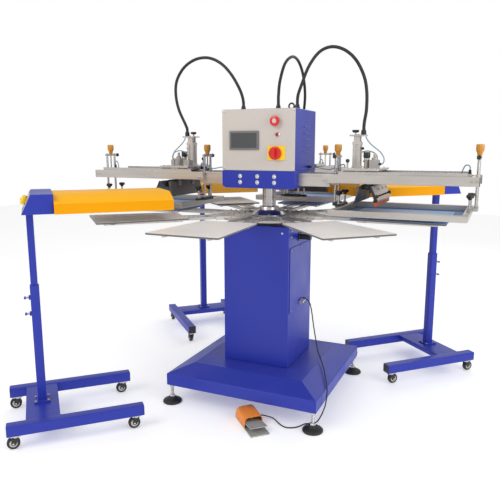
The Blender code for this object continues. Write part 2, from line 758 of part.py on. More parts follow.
def build_hoses(black):
    """A hose from each gland on the box to the gland on its head's carriage, straight at both ends."""
    low = BOX_TOP + GLAND_HIGH + GAP
    end = HOSE_END + GAP
    reach = HOSE_AT
    straight = 0.014
    right_route = (
        (GLAND_OUT["right"], low),
        (GLAND_OUT["right"], low + straight),
        (0.148, 1.525),
        (0.166, 1.575),
        (0.200, 1.655),
        (0.250, 1.716),
        (0.308, 1.736),
        (0.370, 1.719),
        (0.425, 1.672),
        (0.465, 1.600),
        (0.481, 1.530),
        (0.483, 1.450),
        (0.476, 1.395),
        (reach, end + straight),
        (reach, end),
    )
    tube("hose_right", [(x, 0, z) for x, z in right_route], HOSE_RADIUS, black, 2)
    left_route = (
        (GLAND_OUT["left"], low),
        (GLAND_OUT["left"], low + straight),
        (-0.148, 1.522),
        (-0.165, 1.565),
        (-0.205, 1.630),
        (-0.255, 1.684),
        (-0.310, 1.717),
        (-0.367, 1.729),
        (-0.430, 1.719),
        (-0.490, 1.683),
        (-0.532, 1.622),
        (-0.540, 1.552),
        (-0.524, 1.475),
        (-0.486, 1.398),
        (-reach, end + straight),
        (-reach, end),
    )
    tube("hose_left", [(x, 0, z) for x, z in left_route], HOSE_RADIUS, black, 2)
    back_route = (
        (GLAND_OUT["back"], 0, low),
        (GLAND_OUT["back"], 0, low + straight),
        (0.044, 0.006, 1.530),
        (0.038, 0.040, 1.600),
        (0.039, 0.105, 1.690),
        (0.043, 0.200, 1.736),
        (0.046, 0.290, 1.724),
        (0.046, 0.370, 1.660),
        (0.038, 0.430, 1.560),
        (0.018, 0.464, 1.450),
        (0.004, 0.474, 1.395),
        (0, reach, end + straight),
        (0, reach, end),
    )
    tube("hose_back", back_route, HOSE_RADIUS, black, 2)


def build_foot_switch(orange, grey):
    """A hooded base with a treadle hinged at its back, and the gland for the cord."""
    frame = empty("pedal_axis", location=(*PEDAL_PLACE, 0), turn=PEDAL_TURN)
    half, long = PEDAL_HALF, PEDAL_LONG / 2
    base = box((-long, -half, 0), (long, half, 0.005))
    cheek = (
        (-long, 0.002),
        (0.018, 0.002),
        (0.018, 0.028),
        (-0.010, 0.060),
        (-long + 0.02, 0.066),
        (-long, 0.055),
    )
    cheeks = [prism(cheek, -half, -half + SHEET), prism(cheek, half - SHEET, half)]
    roof = prism(
        (
            (-long, 0.050),
            (-long, 0.055),
            (-long + 0.02, 0.066),
            (-0.010, 0.060),
            (0.020, 0.052),
            (0.020, 0.048),
            (-0.010, 0.056),
            (-long + 0.021, 0.062),
        ),
        -half,
        half,
    )
    back = box((-long, -half, 0.002), (-long + 0.004, half, 0.054))
    x, z = PEDAL_GLAND
    gland = rod((x, half - 0.002, z), (x, half + PEDAL_GLAND_LONG, z), 0.006)
    place("pedal_base", shape([base, *cheeks, roof, back, gland]), orange, parent=frame)
    plate = prism(
        ((0, 0), (0.180, 0.018), (0.180, 0.022), (0, 0.004)),
        -half + 0.0045,
        half - 0.0045,
    )
    place("pedal_plate", plate, grey, parent=frame, location=(-long + 0.012, 0, 0.012))


def build_cord(black):
    """The foot switch's cord, over the base's corner and along the floor to the pedal's gland."""
    turn = math.radians(PEDAL_TURN)
    out = PEDAL_HALF + PEDAL_GLAND_LONG + GAP
    along, end_height = PEDAL_GLAND
    end = (
        PEDAL_PLACE[0] + along * math.cos(turn) - out * math.sin(turn),
        PEDAL_PLACE[1] + along * math.sin(turn) + out * math.cos(turn),
        end_height,
    )
    floor = 0.0042
    route = (
        (COLUMN_SIDE / 2 + SHEET + CORD_GLAND + 2 * GAP, *CORD_EXIT),
        (0.199, *CORD_EXIT),
        (0.214, 0.047, 0.474),
        (0.226, 0.041, 0.435),
        (0.235, 0.035, 0.391),
        (0.254, 0.022, 0.310),
        (0.274, 0.008, 0.240),
        (0.300, -0.020, 0.204),
        (0.336, -0.089, 0.190),
        (0.366, -0.160, 0.176),
        (0.390, -0.220, 0.166),
        (0.404, -0.258, 0.146),
        (0.405, -0.280, 0.100),
        (0.394, -0.296, 0.055),
        (0.373, -0.305, 0.014),
        (0.350, -0.313, floor),
        (0.322, -0.333, floor),
        (0.305, -0.366, floor),
        (0.282, -0.390, floor),
        (0.250, -0.399, floor),
        (0.218, -0.384, floor),
        (0.192, -0.364, 0.006),
        (0.166, -0.355, 0.014),
        (end[0] - 0.008 * math.sin(turn), end[1] + 0.008 * math.cos(turn), end[2]),
        end,
    )
    tube("foot_switch_cord", route, CORD_RADIUS, black, 3)


def main():
    clear_scene()
    blue = material("blue_enamel", (0.045, 0.060, 0.360), 0.32)
    yellow = material("yellow_enamel", (0.900, 0.480, 0.010), 0.35)
    grey = material("grey_panel", (0.560, 0.530, 0.490), 0.45)
    aluminium = material("aluminium", (0.650, 0.630, 0.590), 0.38, 0.9)
    steel = material("steel", (0.560, 0.550, 0.530), 0.30, 1.0)
    light = material("pallet_coating", (0.760, 0.740, 0.700), 0.50)
    black = material("black_rubber", (0.015, 0.015, 0.016), 0.55)
    red = material("red_plastic", (0.600, 0.020, 0.015), 0.35)
    orange = material("orange_enamel", (0.850, 0.270, 0.010), 0.45)
    mesh_blue = material("screen_mesh", (0.120, 0.300, 0.560), 0.55)
    build_base(blue, black)
    build_column(blue, steel, black)
    build_carousel(steel, light)
    build_mount(blue)
    build_box(blue)
    build_panel(grey, red)
    for name, turn in HEADS.items():
        build_head(name, turn, aluminium, mesh_blue)
    for name, turn, distance, height in DRYERS:
        build_dryer(name, turn, distance, height, blue, yellow)
    build_hoses(black)
    build_foot_switch(orange, grey)
    build_cord(black)


main()
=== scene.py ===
"""The looks of a screen printing carousel with three print heads and three flash dryers.

Metres, +Z up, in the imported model's frame. A head is drawn in its own frame, where +X points away
from the carousel's axis, and the right-hand head's frame is the world's. A dryer's frame is the same,
with its origin under its post.
"""

import json
import math

import bmesh
import bpy
from mathutils import Matrix, Vector

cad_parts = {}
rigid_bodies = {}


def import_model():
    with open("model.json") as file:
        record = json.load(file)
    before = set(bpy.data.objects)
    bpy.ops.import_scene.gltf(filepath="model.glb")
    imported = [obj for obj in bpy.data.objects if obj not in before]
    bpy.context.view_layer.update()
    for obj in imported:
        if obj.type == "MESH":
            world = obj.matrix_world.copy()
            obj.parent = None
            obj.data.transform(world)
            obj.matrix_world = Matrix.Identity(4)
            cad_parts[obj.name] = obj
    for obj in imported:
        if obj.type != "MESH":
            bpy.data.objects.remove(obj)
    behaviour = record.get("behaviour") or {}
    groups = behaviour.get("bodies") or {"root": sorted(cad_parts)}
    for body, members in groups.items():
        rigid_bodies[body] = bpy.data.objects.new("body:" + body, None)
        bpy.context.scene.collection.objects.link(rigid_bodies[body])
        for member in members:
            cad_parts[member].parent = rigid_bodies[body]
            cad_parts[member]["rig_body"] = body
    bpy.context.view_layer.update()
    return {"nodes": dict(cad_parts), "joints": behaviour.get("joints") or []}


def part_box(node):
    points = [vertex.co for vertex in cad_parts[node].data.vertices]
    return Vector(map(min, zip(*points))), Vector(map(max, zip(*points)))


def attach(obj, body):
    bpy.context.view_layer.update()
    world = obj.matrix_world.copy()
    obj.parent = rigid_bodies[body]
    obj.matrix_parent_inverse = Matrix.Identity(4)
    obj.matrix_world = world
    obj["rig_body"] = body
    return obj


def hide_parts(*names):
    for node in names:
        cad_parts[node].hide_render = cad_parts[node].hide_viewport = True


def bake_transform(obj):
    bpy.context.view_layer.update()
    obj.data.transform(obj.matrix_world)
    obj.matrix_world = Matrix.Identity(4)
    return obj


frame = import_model()

HERE = Matrix.Identity(4)
X = Vector((1, 0, 0))
Z = Vector((0, 0, 1))
FRONT = Vector((0, -1, 0))
SKIN = 0.0006
SHARP = 38

# Camera
EYE = (1.0769, -2.6467, 1.273)
TILT_DOWN = 0.181
TURN_LEFT = 0.4207
LENS = 40.22

# How bright the room is to the object, the backdrop to the camera, and the floor by itself
ROOM_LIGHT = 0.68
BACKDROP_LIGHT = 1.0
FLOOR_GLOW = 0.30

# Foot switch cord: its route as the solid model has it, from the gland to the pedal
CORD_RADIUS = 0.003
PEDAL_PLACE = Vector((0.100, -0.440, 0))
PEDAL_TURN = math.radians(-45)
PEDAL_SPIN = Matrix.Rotation(PEDAL_TURN, 4, "Z")
PEDAL_FRAME = Matrix.Translation(PEDAL_PLACE) @ PEDAL_SPIN
CORD_OUT = 0.0583
CORD_ALONG = -0.040
CORD_HIGH = 0.022
CORD_ROUTE = (
    (0.1926, 0.050, 0.494), (0.199, 0.050, 0.494), (0.214, 0.047, 0.474), (0.226, 0.041, 0.435),
    (0.235, 0.035, 0.391), (0.254, 0.022, 0.310), (0.274, 0.008, 0.240), (0.300, -0.020, 0.204),
    (0.336, -0.089, 0.190), (0.366, -0.160, 0.176), (0.390, -0.220, 0.166), (0.404, -0.258, 0.146),
    (0.405, -0.280, 0.100), (0.394, -0.296, 0.055), (0.373, -0.305, 0.014), (0.350, -0.313, 0.0042),
    (0.322, -0.333, 0.0042), (0.305, -0.366, 0.0042), (0.282, -0.390, 0.0042),
    (0.250, -0.399, 0.0042), (0.218, -0.384, 0.0042), (0.192, -0.364, 0.006),
    (0.166, -0.355, 0.014),
    PEDAL_FRAME @ Vector((CORD_ALONG, CORD_OUT + 0.008, CORD_HIGH)),
    PEDAL_FRAME @ Vector((CORD_ALONG, CORD_OUT, CORD_HIGH)),
)

# Hoses: radius, and each route from its gland on the box to its gland on the carriage
HOSE_RADIUS = 0.0075
HOSE_ROUTES = {
    "right": (
        (0.145, 0, 1.4793), (0.145, 0, 1.4933), (0.148, 0, 1.525), (0.166, 0, 1.575),
        (0.200, 0, 1.655), (0.250, 0, 1.716), (0.308, 0, 1.736), (0.370, 0, 1.719),
        (0.425, 0, 1.672), (0.465, 0, 1.600), (0.481, 0, 1.530), (0.483, 0, 1.450),
        (0.476, 0, 1.395), (0.474, 0, 1.3703), (0.474, 0, 1.3563),
    ),
    "left": (
        (-0.143, 0, 1.4793), (-0.143, 0, 1.4933), (-0.148, 0, 1.522), (-0.165, 0, 1.565),
        (-0.205, 0, 1.630), (-0.255, 0, 1.684), (-0.310, 0, 1.717), (-0.367, 0, 1.729),
        (-0.430, 0, 1.719), (-0.490, 0, 1.683), (-0.532, 0, 1.622), (-0.540, 0, 1.552),
        (-0.524, 0, 1.475), (-0.486, 0, 1.398), (-0.474, 0, 1.3703), (-0.474, 0, 1.3563),
    ),
    "back": (
        (0.046, 0, 1.4793), (0.046, 0, 1.4933), (0.044, 0.006, 1.530), (0.038, 0.040, 1.600),
        (0.039, 0.105, 1.690), (0.043, 0.200, 1.736), (0.046, 0.290, 1.724), (0.046, 0.370, 1.660),
        (0.038, 0.430, 1.560), (0.018, 0.464, 1.450), (0.004, 0.474, 1.395), (0, 0.474, 1.3703),
        (0, 0.474, 1.3563),
    ),
}


# Shapes


def mesh_of(bm):
    bmesh.ops.recalc_face_normals(bm, faces=bm.faces)
    mesh = bpy.data.meshes.new("shape")
    bm.to_mesh(mesh)
    bm.free()
    return mesh


def box(low, high):
    low, high = Vector(low), Vector(high)
    low, high = Vector(map(min, low, high)), Vector(map(max, low, high))
    bm = bmesh.new()
    place = Matrix.Translation((low + high) / 2) @ Matrix.Diagonal((*(high - low), 1))
    bmesh.ops.create_cube(bm, size=1, matrix=place)
    return mesh_of(bm)


def rings(loops):
    """Rings of points joined in order and capped into one solid."""
    bm = bmesh.new()
    made = [[bm.verts.new(point) for point in loop] for loop in loops]
    for lower, upper in zip(made, made[1:]):
        for i in range(len(lower)):
            j = (i + 1) % len(lower)
            bm.faces.new((lower[i], lower[j], upper[j], upper[i]))
    bm.faces.new(made[0])
    bm.faces.new(made[-1])
    return mesh_of(bm)


def turned(profile, place=(0, 0, 0), direction=Z, sides=28, lobes=0, depth=0.0):
    """The (radius, height) profile turned about its axis, closed at both ends, with lobes if asked."""
    loops = []
    for radius, height in profile:
        loop = []
        for i in range(sides):
            angle = math.tau * i / sides
            swing = radius * (1 + depth * math.cos(lobes * angle))
            loop.append((swing * math.cos(angle), swing * math.sin(angle), height))
        loops.append(loop)
    mesh = rings(loops)
    turn = Z.rotation_difference(Vector(direction)).to_matrix().to_4x4()
    mesh.transform(Matrix.Translation(place) @ turn)
    return mesh


def rod(start, end, radius, sides=24):
    along = Vector(end) - Vector(start)
    return turned(((radius, 0), (radius, along.length)), start, along, sides)


def prism(outline, start, end, axes="xz"):
    """An outline in two of the axes, extruded from start to end along the third."""
    first, second, third = {"xz": (0, 2, 1), "yz": (1, 2, 0), "xy": (0, 1, 2)}[axes]
    loops = []
    for along in (start, end):
        loop = []
        for a, b in outline:
            point = [0, 0, 0]
            point[first], point[second], point[third] = a, b, along
            loop.append(point)
        loops.append(loop)
    return rings(loops)


def mirrored(half):
    """An outline from its right half, which is given from the bottom to the top."""
    return (*((-a, b) for a, b in half), *((a, b) for a, b in reversed(half)))


def rounded(low, high, radius, steps=5):
    """A rectangle's outline with round corners."""
    corners = (
        (high[0] - radius, low[1] + radius, -90),
        (high[0] - radius, high[1] - radius, 0),
        (low[0] + radius, high[1] - radius, 90),
        (low[0] + radius, low[1] + radius, 180),
    )
    outline = []
    for x, y, start in corners:
        for i in range(steps + 1):
            angle = math.radians(start + 90 * i / steps)
            outline.append((x + radius * math.cos(angle), y + radius * math.sin(angle)))
    return outline


def smooth(points, steps):
    """A Catmull-Rom line through the points, straight over its first and last span."""
    route = [Vector(p) for p in points]
    ends = [route[0] * 2 - route[1], *route, route[-1] * 2 - route[-2]]
    line = [route[0], route[1]]
    for a, b, c, d in list(zip(ends, ends[1:], ends[2:], ends[3:]))[1:-1]:
        for i in range(1, steps + 1):
            t = i / steps
            bend = (2 * a - 5 * b + 4 * c - d) * t**2 + (3 * b - a - 3 * c + d) * t**3
            line.append((2 * b + (c - a) * t + bend) / 2)
    line.append(route[-1])
    return line


def swept(points, radius, sides=14):
    """A round tube along a line of points, with closed ends."""
    side = (points[1] - points[0]).orthogonal().normalized()
    loops = []
    for i, point in enumerate(points):
        ahead = (points[min(i + 1, len(points) - 1)] - points[max(i - 1, 0)]).normalized()
        side = (side - ahead * side.dot(ahead)).normalized()
        up = ahead.cross(side)
        turns = [math.tau * k / sides for k in range(sides)]
        loops.append([point + (side * math.cos(a) + up * math.sin(a)) * radius for a in turns])
    return rings(loops)


def bolt(place, direction, radius):
    """A socket-head screw's head."""
    profile = (
        (radius, 0), (radius, radius * 0.75), (radius * 0.88, radius * 0.9),
        (radius * 0.52, radius * 0.9), (radius * 0.52, radius * 0.4),
    )
    return turned(profile, place, direction, 18)


def thread(crest, root, low, high, turns):
    """The profile of a threaded rod."""
    return [(crest if i % 2 else root, low + (high - low) * i / turns) for i in range(turns + 1)]


def bolt_circle(count, out, height, radius):
    """Upright bolts spread evenly about the carousel's axis."""
    places = []
    for i in range(count):
        angle = math.tau * (i + 0.5) / count
        places.append((out * math.cos(angle), out * math.sin(angle), height))
    return [bolt(place, Z, radius) for place in places]


def nut(place, direction, across, high):
    """A hexagon nut with its edges chamfered."""
    flat, corner = across * 0.52, across * 0.577
    profile = ((flat, 0), (corner, high * 0.15), (corner, high * 0.85), (flat, high))
    return turned(profile, place, direction, 6)


def linked(name, data):
    """An object with this data, put into the scene."""
    obj = bpy.data.objects.new(name, data)
    bpy.context.scene.collection.objects.link(obj)
    return obj


def round_edges(obj, width, segments, degrees):
    """Bevels an object's edges that turn by more than an angle."""
    edge = obj.modifiers.new("edges", "BEVEL")
    edge.width = width
    edge.segments = segments
    edge.limit_method = "ANGLE"
    edge.angle_limit = math.radians(degrees)
    edge.harden_normals = True


def piece(name, meshes, finish, body="machine", at=HERE, bevel=0.0008, segments=2):
    """One visible piece made of closed shapes, riding on a body."""
    bm = bmesh.new()
    for mesh in meshes:
        bm.from_mesh(mesh)
        bpy.data.meshes.remove(mesh)
    whole = bpy.data.meshes.new(name)
    bm.to_mesh(whole)
    bm.free()
    whole.transform(at)
    whole.materials.append(finish)
    whole.shade_smooth()
    whole.set_sharp_from_angle(angle=math.radians(SHARP))
    obj = linked(name, whole)
    if bevel:
        round_edges(obj, bevel, segments, SHARP)
    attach(obj, body)
    return obj


def placer(name, body, at):
    """A function that makes the pieces of one head or dryer that ride on one body."""

    def put(part, meshes, finish, **edges):
        return piece(part + "_" + name, meshes, finish, body, at=at, **edges)

    return put


def cut(name, mesh, cutter):
    """A closed mesh with another cut out of it."""
    whole, tool = linked(name, mesh), linked(name + "_cutter", cutter)
    step = whole.modifiers.new("cut", "BOOLEAN")
    step.operation = "DIFFERENCE"
    step.object = tool
    bpy.context.view_layer.update()
    graph = bpy.context.evaluated_depsgraph_get()
    left = bpy.data.meshes.new_from_object(whole.evaluated_get(graph))
    bpy.data.objects.remove(whole)
    bpy.data.objects.remove(tool)
    return left


def turned_box(node, turn):
    """A node's lowest and highest corner after turning it back about the carousel's axis."""
    spin = Matrix.Rotation(-turn, 3, "Z")
    points = [spin @ v.co for v in frame["nodes"][node].data.vertices]
    low = Vector(min(p[i] for p in points) for i in range(3))
    high = Vector(max(p[i] for p in points) for i in range(3))
    return low, high


# Materials

DUST = (0.62, 0.60, 0.57)
PATCHES = 5.0
GLOSS_SWING = 0.07
# How far in from an edge its lighter colour reaches: partly wear, partly a painted highlight
WEAR_AND_HIGHLIGHT_RADIUS = 0.0022
GRAIN_DEPTH = 0.0004


def material(name, colour, roughness, metallic=0.0, spread=0.10, grain=450.0, bump=0.12,
             stretch=(1, 1, 1), dust=0.0, wear=None, sides=None, **sockets):
    """A surface whose colour and gloss drift in patches, with a fine grain, dust on top, edges lightened
    as partly wear and partly a painted highlight and, if asked, a painted shade colour on its upright
    sides."""
    made = bpy.data.materials.new(name)
    made.use_nodes = True
    tree = made.node_tree
    shader = tree.nodes["Principled BSDF"]
    made.diffuse_color = (*colour, 1)

    def node(kind, inputs, **values):
        """A node, with each of its inputs linked to a socket or set to a constant."""
        new = tree.nodes.new(kind)
        for key, value in values.items():
            setattr(new, key, value)
        for key, value in inputs.items():
            if isinstance(value, bpy.types.NodeSocket):
                tree.links.new(value, new.inputs[key])
            else:
                new.inputs[key].default_value = value
        return new

    def noise(scale, detail):
        inputs = {"Vector": place, "Scale": scale, "Detail": detail}
        return node("ShaderNodeTexNoise", inputs).outputs["Fac"]

    def ranged(value, start, end, low, high):
        inputs = {"Value": value, "From Min": start, "From Max": end, "To Min": low, "To Max": high}
        return node("ShaderNodeMapRange", inputs).outputs["Result"]

    def times(first, second):
        return node("ShaderNodeMath", {0: first, 1: second}, operation="MULTIPLY").outputs["Value"]

    def mixed(factor, first, second):
        inputs = {"Factor": factor, "A": first, "B": (*second, 1)}
        return node("ShaderNodeMix", inputs, data_type="RGBA").outputs["Result"]

    where = node("ShaderNodeTexCoord", {}).outputs["Object"]
    place = node("ShaderNodeMapping", {"Vector": where, "Scale": stretch}).outputs["Vector"]
    facing = node("ShaderNodeNewGeometry", {}).outputs["Normal"]
    upward = node("ShaderNodeSeparateXYZ", {"Vector": facing}).outputs["Z"]
    patches = noise(PATCHES, 6)
    fine = noise(grain, 3)
    dark = [c * (1 - spread) for c in colour]
    light = [min(1, c * (1 + spread)) for c in colour]
    tint = mixed(patches, (*dark, 1), light)
    dull, glossy = min(1, roughness + GLOSS_SWING), max(0.03, roughness - GLOSS_SWING)
    if dust:
        tint = mixed(times(ranged(upward, 0.6, 1.0, 0, dust), patches), tint, DUST)
    # Painted shade: upright faces get a darker colour than the faces that look up
    if sides:
        tint = mixed(ranged(upward, 0.6, 0.2, 0, 1), tint, sides)
    # Convex edges take a lighter colour: partly wear, partly a painted highlight
    if wear:
        edge = node("ShaderNodeBevel", {"Radius": WEAR_AND_HIGHLIGHT_RADIUS}, samples=3).outputs["Normal"]
        level = node("ShaderNodeVectorMath", {0: edge, 1: facing}, operation="DOT_PRODUCT")
        wear_and_highlight_mask = ranged(level.outputs["Value"], 0.99, 0.90, 0, 0.8)
        tint = mixed(times(wear_and_highlight_mask, patches), tint, wear)
    relief = node("ShaderNodeBump", {"Strength": bump, "Distance": GRAIN_DEPTH, "Height": fine})
    tree.links.new(tint, shader.inputs["Base Color"])
    tree.links.new(ranged(patches, 0.3, 0.7, glossy, dull), shader.inputs["Roughness"])
    tree.links.new(relief.outputs["Normal"], shader.inputs["Normal"])
    shader.inputs["Metallic"].default_value = metallic
    for key, value in sockets.items():
        shader.inputs[key.replace("_", " ")].default_value = value
    return made


# Blue enamel: its lighter blue edge colour is partly wear and partly a painted highlight
BLUE = material("blue_enamel", (0.018, 0.034, 0.370), 0.36, spread=0.05, dust=0.04,
                wear=(0.12, 0.16, 0.60), Specular_IOR_Level=0.38)
# Yellow enamel: its lighter edge colour is partly wear and partly a painted highlight, and the darker
# orange on its upright sides is painted shade
YELLOW = material("yellow_enamel", (1.0, 0.46, 0.0), 0.38, spread=0.05, wear=(1.0, 0.70, 0.20),
                  sides=(0.86, 0.35, 0.0), Specular_IOR_Level=0.12)
# Orange enamel: its lighter edge colour is partly wear and partly a painted highlight
ORANGE = material("orange_enamel", (0.86, 0.24, 0.008), 0.42, dust=0.08, wear=(0.95, 0.55, 0.20))
GREY = material("grey_panel", (0.57, 0.53, 0.49), 0.42, spread=0.04, bump=0.08)
TREADLE = material("grey_treadle", (0.42, 0.41, 0.38), 0.50, metallic=0.4, spread=0.15, dust=0.10)
ALUMINIUM = material("aluminium", (0.60, 0.56, 0.525), 0.36, 0.92, grain=90, bump=0.10, stretch=(1, 8, 8))
CAST = material("cast_aluminium", (0.46, 0.44, 0.42), 0.42, 0.85, spread=0.14, grain=600, bump=0.25)
STEEL = material("steel", (0.60, 0.58, 0.56), 0.26, 1.0, spread=0.14, grain=120, bump=0.10,
                 stretch=(1, 1, 6))
DARK_STEEL = material("dark_steel", (0.13, 0.125, 0.12), 0.42, 0.7, spread=0.2, grain=200,
                      stretch=(1, 4, 1))
CHROME = material("chrome", (0.82, 0.82, 0.82), 0.10, 1.0, spread=0.05, bump=0.02)
# Pallet plate: the near-black colour on its upright edges is painted shade
PALLET = material("pallet_plate", (0.80, 0.765, 0.73), 0.40, 0.10, spread=0.04, grain=700, bump=0.08,
                  sides=(0.13, 0.12, 0.115))
MESH = material("screen_blue", (0.10, 0.27, 0.55), 0.42, grain=1500, bump=0.35, Sheen_Weight=0.2)
STENCIL = material("stencil_emulsion", (0.045, 0.14, 0.34), 0.55, spread=0.18, bump=0.20)
RUBBER = material("black_rubber", (0.014, 0.014, 0.015), 0.52, spread=0.25, grain=800, bump=0.18)
BLACK = material("black_plastic", (0.018, 0.018, 0.019), 0.38, spread=0.2, grain=900)
RED = material("red_plastic", (0.66, 0.012, 0.010), 0.28, spread=0.06, bump=0.04, Coat_Weight=0.3)
AMBER = material("amber_plastic", (0.62, 0.26, 0.012), 0.25, spread=0.12, bump=0.05, Coat_Weight=0.5)
BLADE = material("squeegee_rubber", (0.62, 0.095, 0.020), 0.38, bump=0.10)
YELLOW_PLASTIC = material("yellow_plastic", (0.95, 0.62, 0.010), 0.35, spread=0.05, bump=0.06)
BRASS = material("brass", (0.75, 0.52, 0.20), 0.28, 1.0)
BEZEL = material("bezel_plastic", (0.165, 0.155, 0.160), 0.40, spread=0.08)
GLASS = material("display_glass", (0.055, 0.060, 0.062), 0.12, spread=0.04, bump=0.0, Coat_Weight=0.6)
LENS_RED = material("lamp_lens", (0.32, 0.010, 0.012), 0.15, spread=0.05, bump=0.0, Coat_Weight=0.6)
AIR_TUBE = material("blue_air_tube", (0.30, 0.42, 0.52), 0.22, spread=0.05, bump=0.03,
                    Transmission_Weight=0.25)
QUARTZ = material("quartz_heating_tube", (0.75, 0.70, 0.64), 0.30, spread=0.05, bump=0.05)
REFLECTOR = material("reflector_sheet", (0.75, 0.74, 0.72), 0.22, 1.0, spread=0.06, grain=160)


def dress(node, finish, width=0, segments=2):
    """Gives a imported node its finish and, with a width, slightly round edges as paint leaves them."""
    obj = frame["nodes"][node]
    obj.data.materials.clear()
    obj.data.materials.append(finish)
    if width:
        weld = obj.modifiers.new("weld", "WELD")
        weld.merge_threshold = 0.00002
        round_edges(obj, width, segments, 50)


# Camera, light and floor


def build_camera():
    data = bpy.data.cameras.new("camera")
    data.lens = LENS
    camera = linked("camera", data)
    camera.location = EYE
    camera.rotation_euler = (math.pi / 2 - TILT_DOWN, 0, TURN_LEFT)
    bpy.context.scene.camera = camera


def build_light(name, place, aim, size, power, colour):
    data = bpy.data.lights.new(name, "AREA")
    data.size = size
    data.energy = power
    data.color = colour
    light = linked(name, data)
    light.location = place
    light.rotation_mode = "QUATERNION"
    light.rotation_quaternion = (Vector(place) - Vector(aim)).to_track_quat("Z", "Y")


def build_studio():
    world = bpy.data.worlds.new("studio")
    world.use_nodes = True
    tree = world.node_tree
    background = tree.nodes["Background"]
    background.inputs["Color"].default_value = (1.0, 1.0, 1.0, 1)
    rays = tree.nodes.new("ShaderNodeLightPath")
    strength = tree.nodes.new("ShaderNodeMapRange")
    strength.inputs["To Min"].default_value = ROOM_LIGHT
    strength.inputs["To Max"].default_value = BACKDROP_LIGHT
    tree.links.new(rays.outputs["Is Camera Ray"], strength.inputs["Value"])
    tree.links.new(strength.outputs["Result"], background.inputs["Strength"])
    bpy.context.scene.world = world
    bpy.context.scene.view_settings.view_transform = "Standard"
    build_light("key", (-1.8, -3.6, 3.6), (0, 0, 0.9), 2.2, 62, (1.0, 0.98, 0.95))
    build_light("fill", (3.8, -1.2, 2.2), (0, 0, 0.9), 2.2, 52, (0.95, 0.97, 1.0))
    build_light("rim", (0.5, 3.6, 3.4), (0, 0, 1.0), 2.6, 22, (1.0, 1.0, 1.0))
    floor_mesh = prism(((-9, -9), (9, -9), (9, 9), (-9, 9)), -0.02, -0.0005, axes="xy")
    floor = linked("studio_floor", floor_mesh)
    pale = material("pale_floor", (0.92, 0.92, 0.92), 0.8, spread=0.01, bump=0.0,
                    Emission_Strength=FLOOR_GLOW, Emission_Color=(1, 1, 1, 1))
    floor_mesh.materials.append(pale)


# Cord and hoses


def build_cord():
    line = smooth(CORD_ROUTE, 6)
    curve = bpy.data.curves.new("foot_switch_lead", "CURVE")
    curve.dimensions = "3D"
    curve.bevel_depth = CORD_RADIUS
    curve.bevel_resolution = 4
    curve.use_fill_caps = True
    spline = curve.splines.new("POLY")
    spline.points.add(len(line) - 1)
    for point, place in zip(spline.points, line):
        point.co = (*place, 1)
    spline.use_smooth = True
    curve.materials.append(RUBBER)
    lead = linked("foot_switch_lead", curve)
    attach(lead, "machine")
    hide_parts("foot_switch_cord")


def build_hoses():
    for name, route in HOSE_ROUTES.items():
        line = smooth(route, 8)
        hose = piece("air_hose_" + name, [swept(line, HOSE_RADIUS, 18)], RUBBER, bevel=0)
        hose.parent = None
        del hose["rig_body"]
        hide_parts("hose_" + name)
        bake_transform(hose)


# Base and column


# A levelling foot's pad: each radius as a share of its largest, and its height
PAD = ((0.96, 0), (1, 0.003), (1, 0.008), (0.92, 0.013), (0.60, 0.019), (0.42, 0.024), (0.36, 0.030))


def build_base():
    dress("base_plinth", BLUE, 0.004, 3)
    corners = ("front_left", "front_right", "back_left", "back_right")
    pads, stems = [], []
    for corner in corners:
        low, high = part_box("levelling_foot_" + corner)
        x, y = (low.x + high.x) / 2, (low.y + high.y) / 2
        out = (high.x - low.x) / 2
        pads.append(turned([(out * part, height) for part, height in PAD], (x, y, 0), sides=36))
        stems.append(turned(thread(0.0082, 0.0072, 0.026, high.z, 39), (x, y, 0), sides=16))
        stems.append(nut((x, y, 0.030), Z, 0.026, 0.010))
        stems.append(nut((x, y, high.z - 0.013), Z, 0.026, 0.0125))
    rubber = piece("levelling_pads", pads, RUBBER, bevel=0)
    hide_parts(*("levelling_foot_" + corner for corner in corners))
    piece("levelling_stems", stems, STEEL, bevel=0.0005)


def build_column():
    dress("column", BLUE, 0.004, 3)
    dress("access_panel", BLUE, 0.0008)
    dress("index_cylinder", BLACK, 0.0008)
    dress("bearing_housing", CAST)
    low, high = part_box("access_panel")
    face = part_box("column")[1].x + 0.0033
    screws = []
    for y in (low.y + 0.012, 0, high.y - 0.012):
        for z in (low.z + 0.012, high.z - 0.012):
            screws.append(bolt((face, y, z), X, 0.0042))
    piece("panel_screws", screws, STEEL, bevel=0)
    exit_y, exit_z = CORD_ROUTE[0][1:]
    sleeve = ((0.0088, 0), (0.0088, 0.005), (0.0082, 0.009))
    gland = [
        nut((face, exit_y, exit_z), X, 0.019, 0.008),
        turned(sleeve, (face + 0.0075, exit_y, exit_z), X),
    ]
    piece("cord_gland", gland, BLACK, bevel=0.0004)
    socket = (
        (0.0085, 0), (0.0085, 0.010), (0.0072, 0.011), (0.0072, 0.017),
        (0.0062, 0.018), (0.0045, 0.018), (0.0045, 0.012),
    )
    sockets, rims = [], []
    for y, z in ((exit_y - 0.032, exit_z + 0.004), (exit_y - 0.058, exit_z + 0.002)):
        rims.append(nut((face, y, z), X, 0.020, 0.005))
        sockets.append(turned(socket, (face + 0.004, y, z), X, 24))
    piece("air_sockets", sockets, CHROME, bevel=0)
    piece("air_socket_nuts", rims, BRASS, bevel=0.0004)
    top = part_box("column")[1]
    bolts = []
    for out in (-0.140, 0.140):
        bolts.append(bolt((out, -top.x, top.z - 0.030), FRONT, 0.0055))
        bolts += [bolt((top.x, out, top.z - down), X, 0.0055) for down in (0.020, 0.050)]
    piece("column_bolts", bolts, STEEL, bevel=0)
    flange_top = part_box("bearing_housing")[0].z + 0.0405
    piece("bearing_bolts", bolt_circle(6, 0.086, flange_top, 0.006), STEEL, bevel=0)


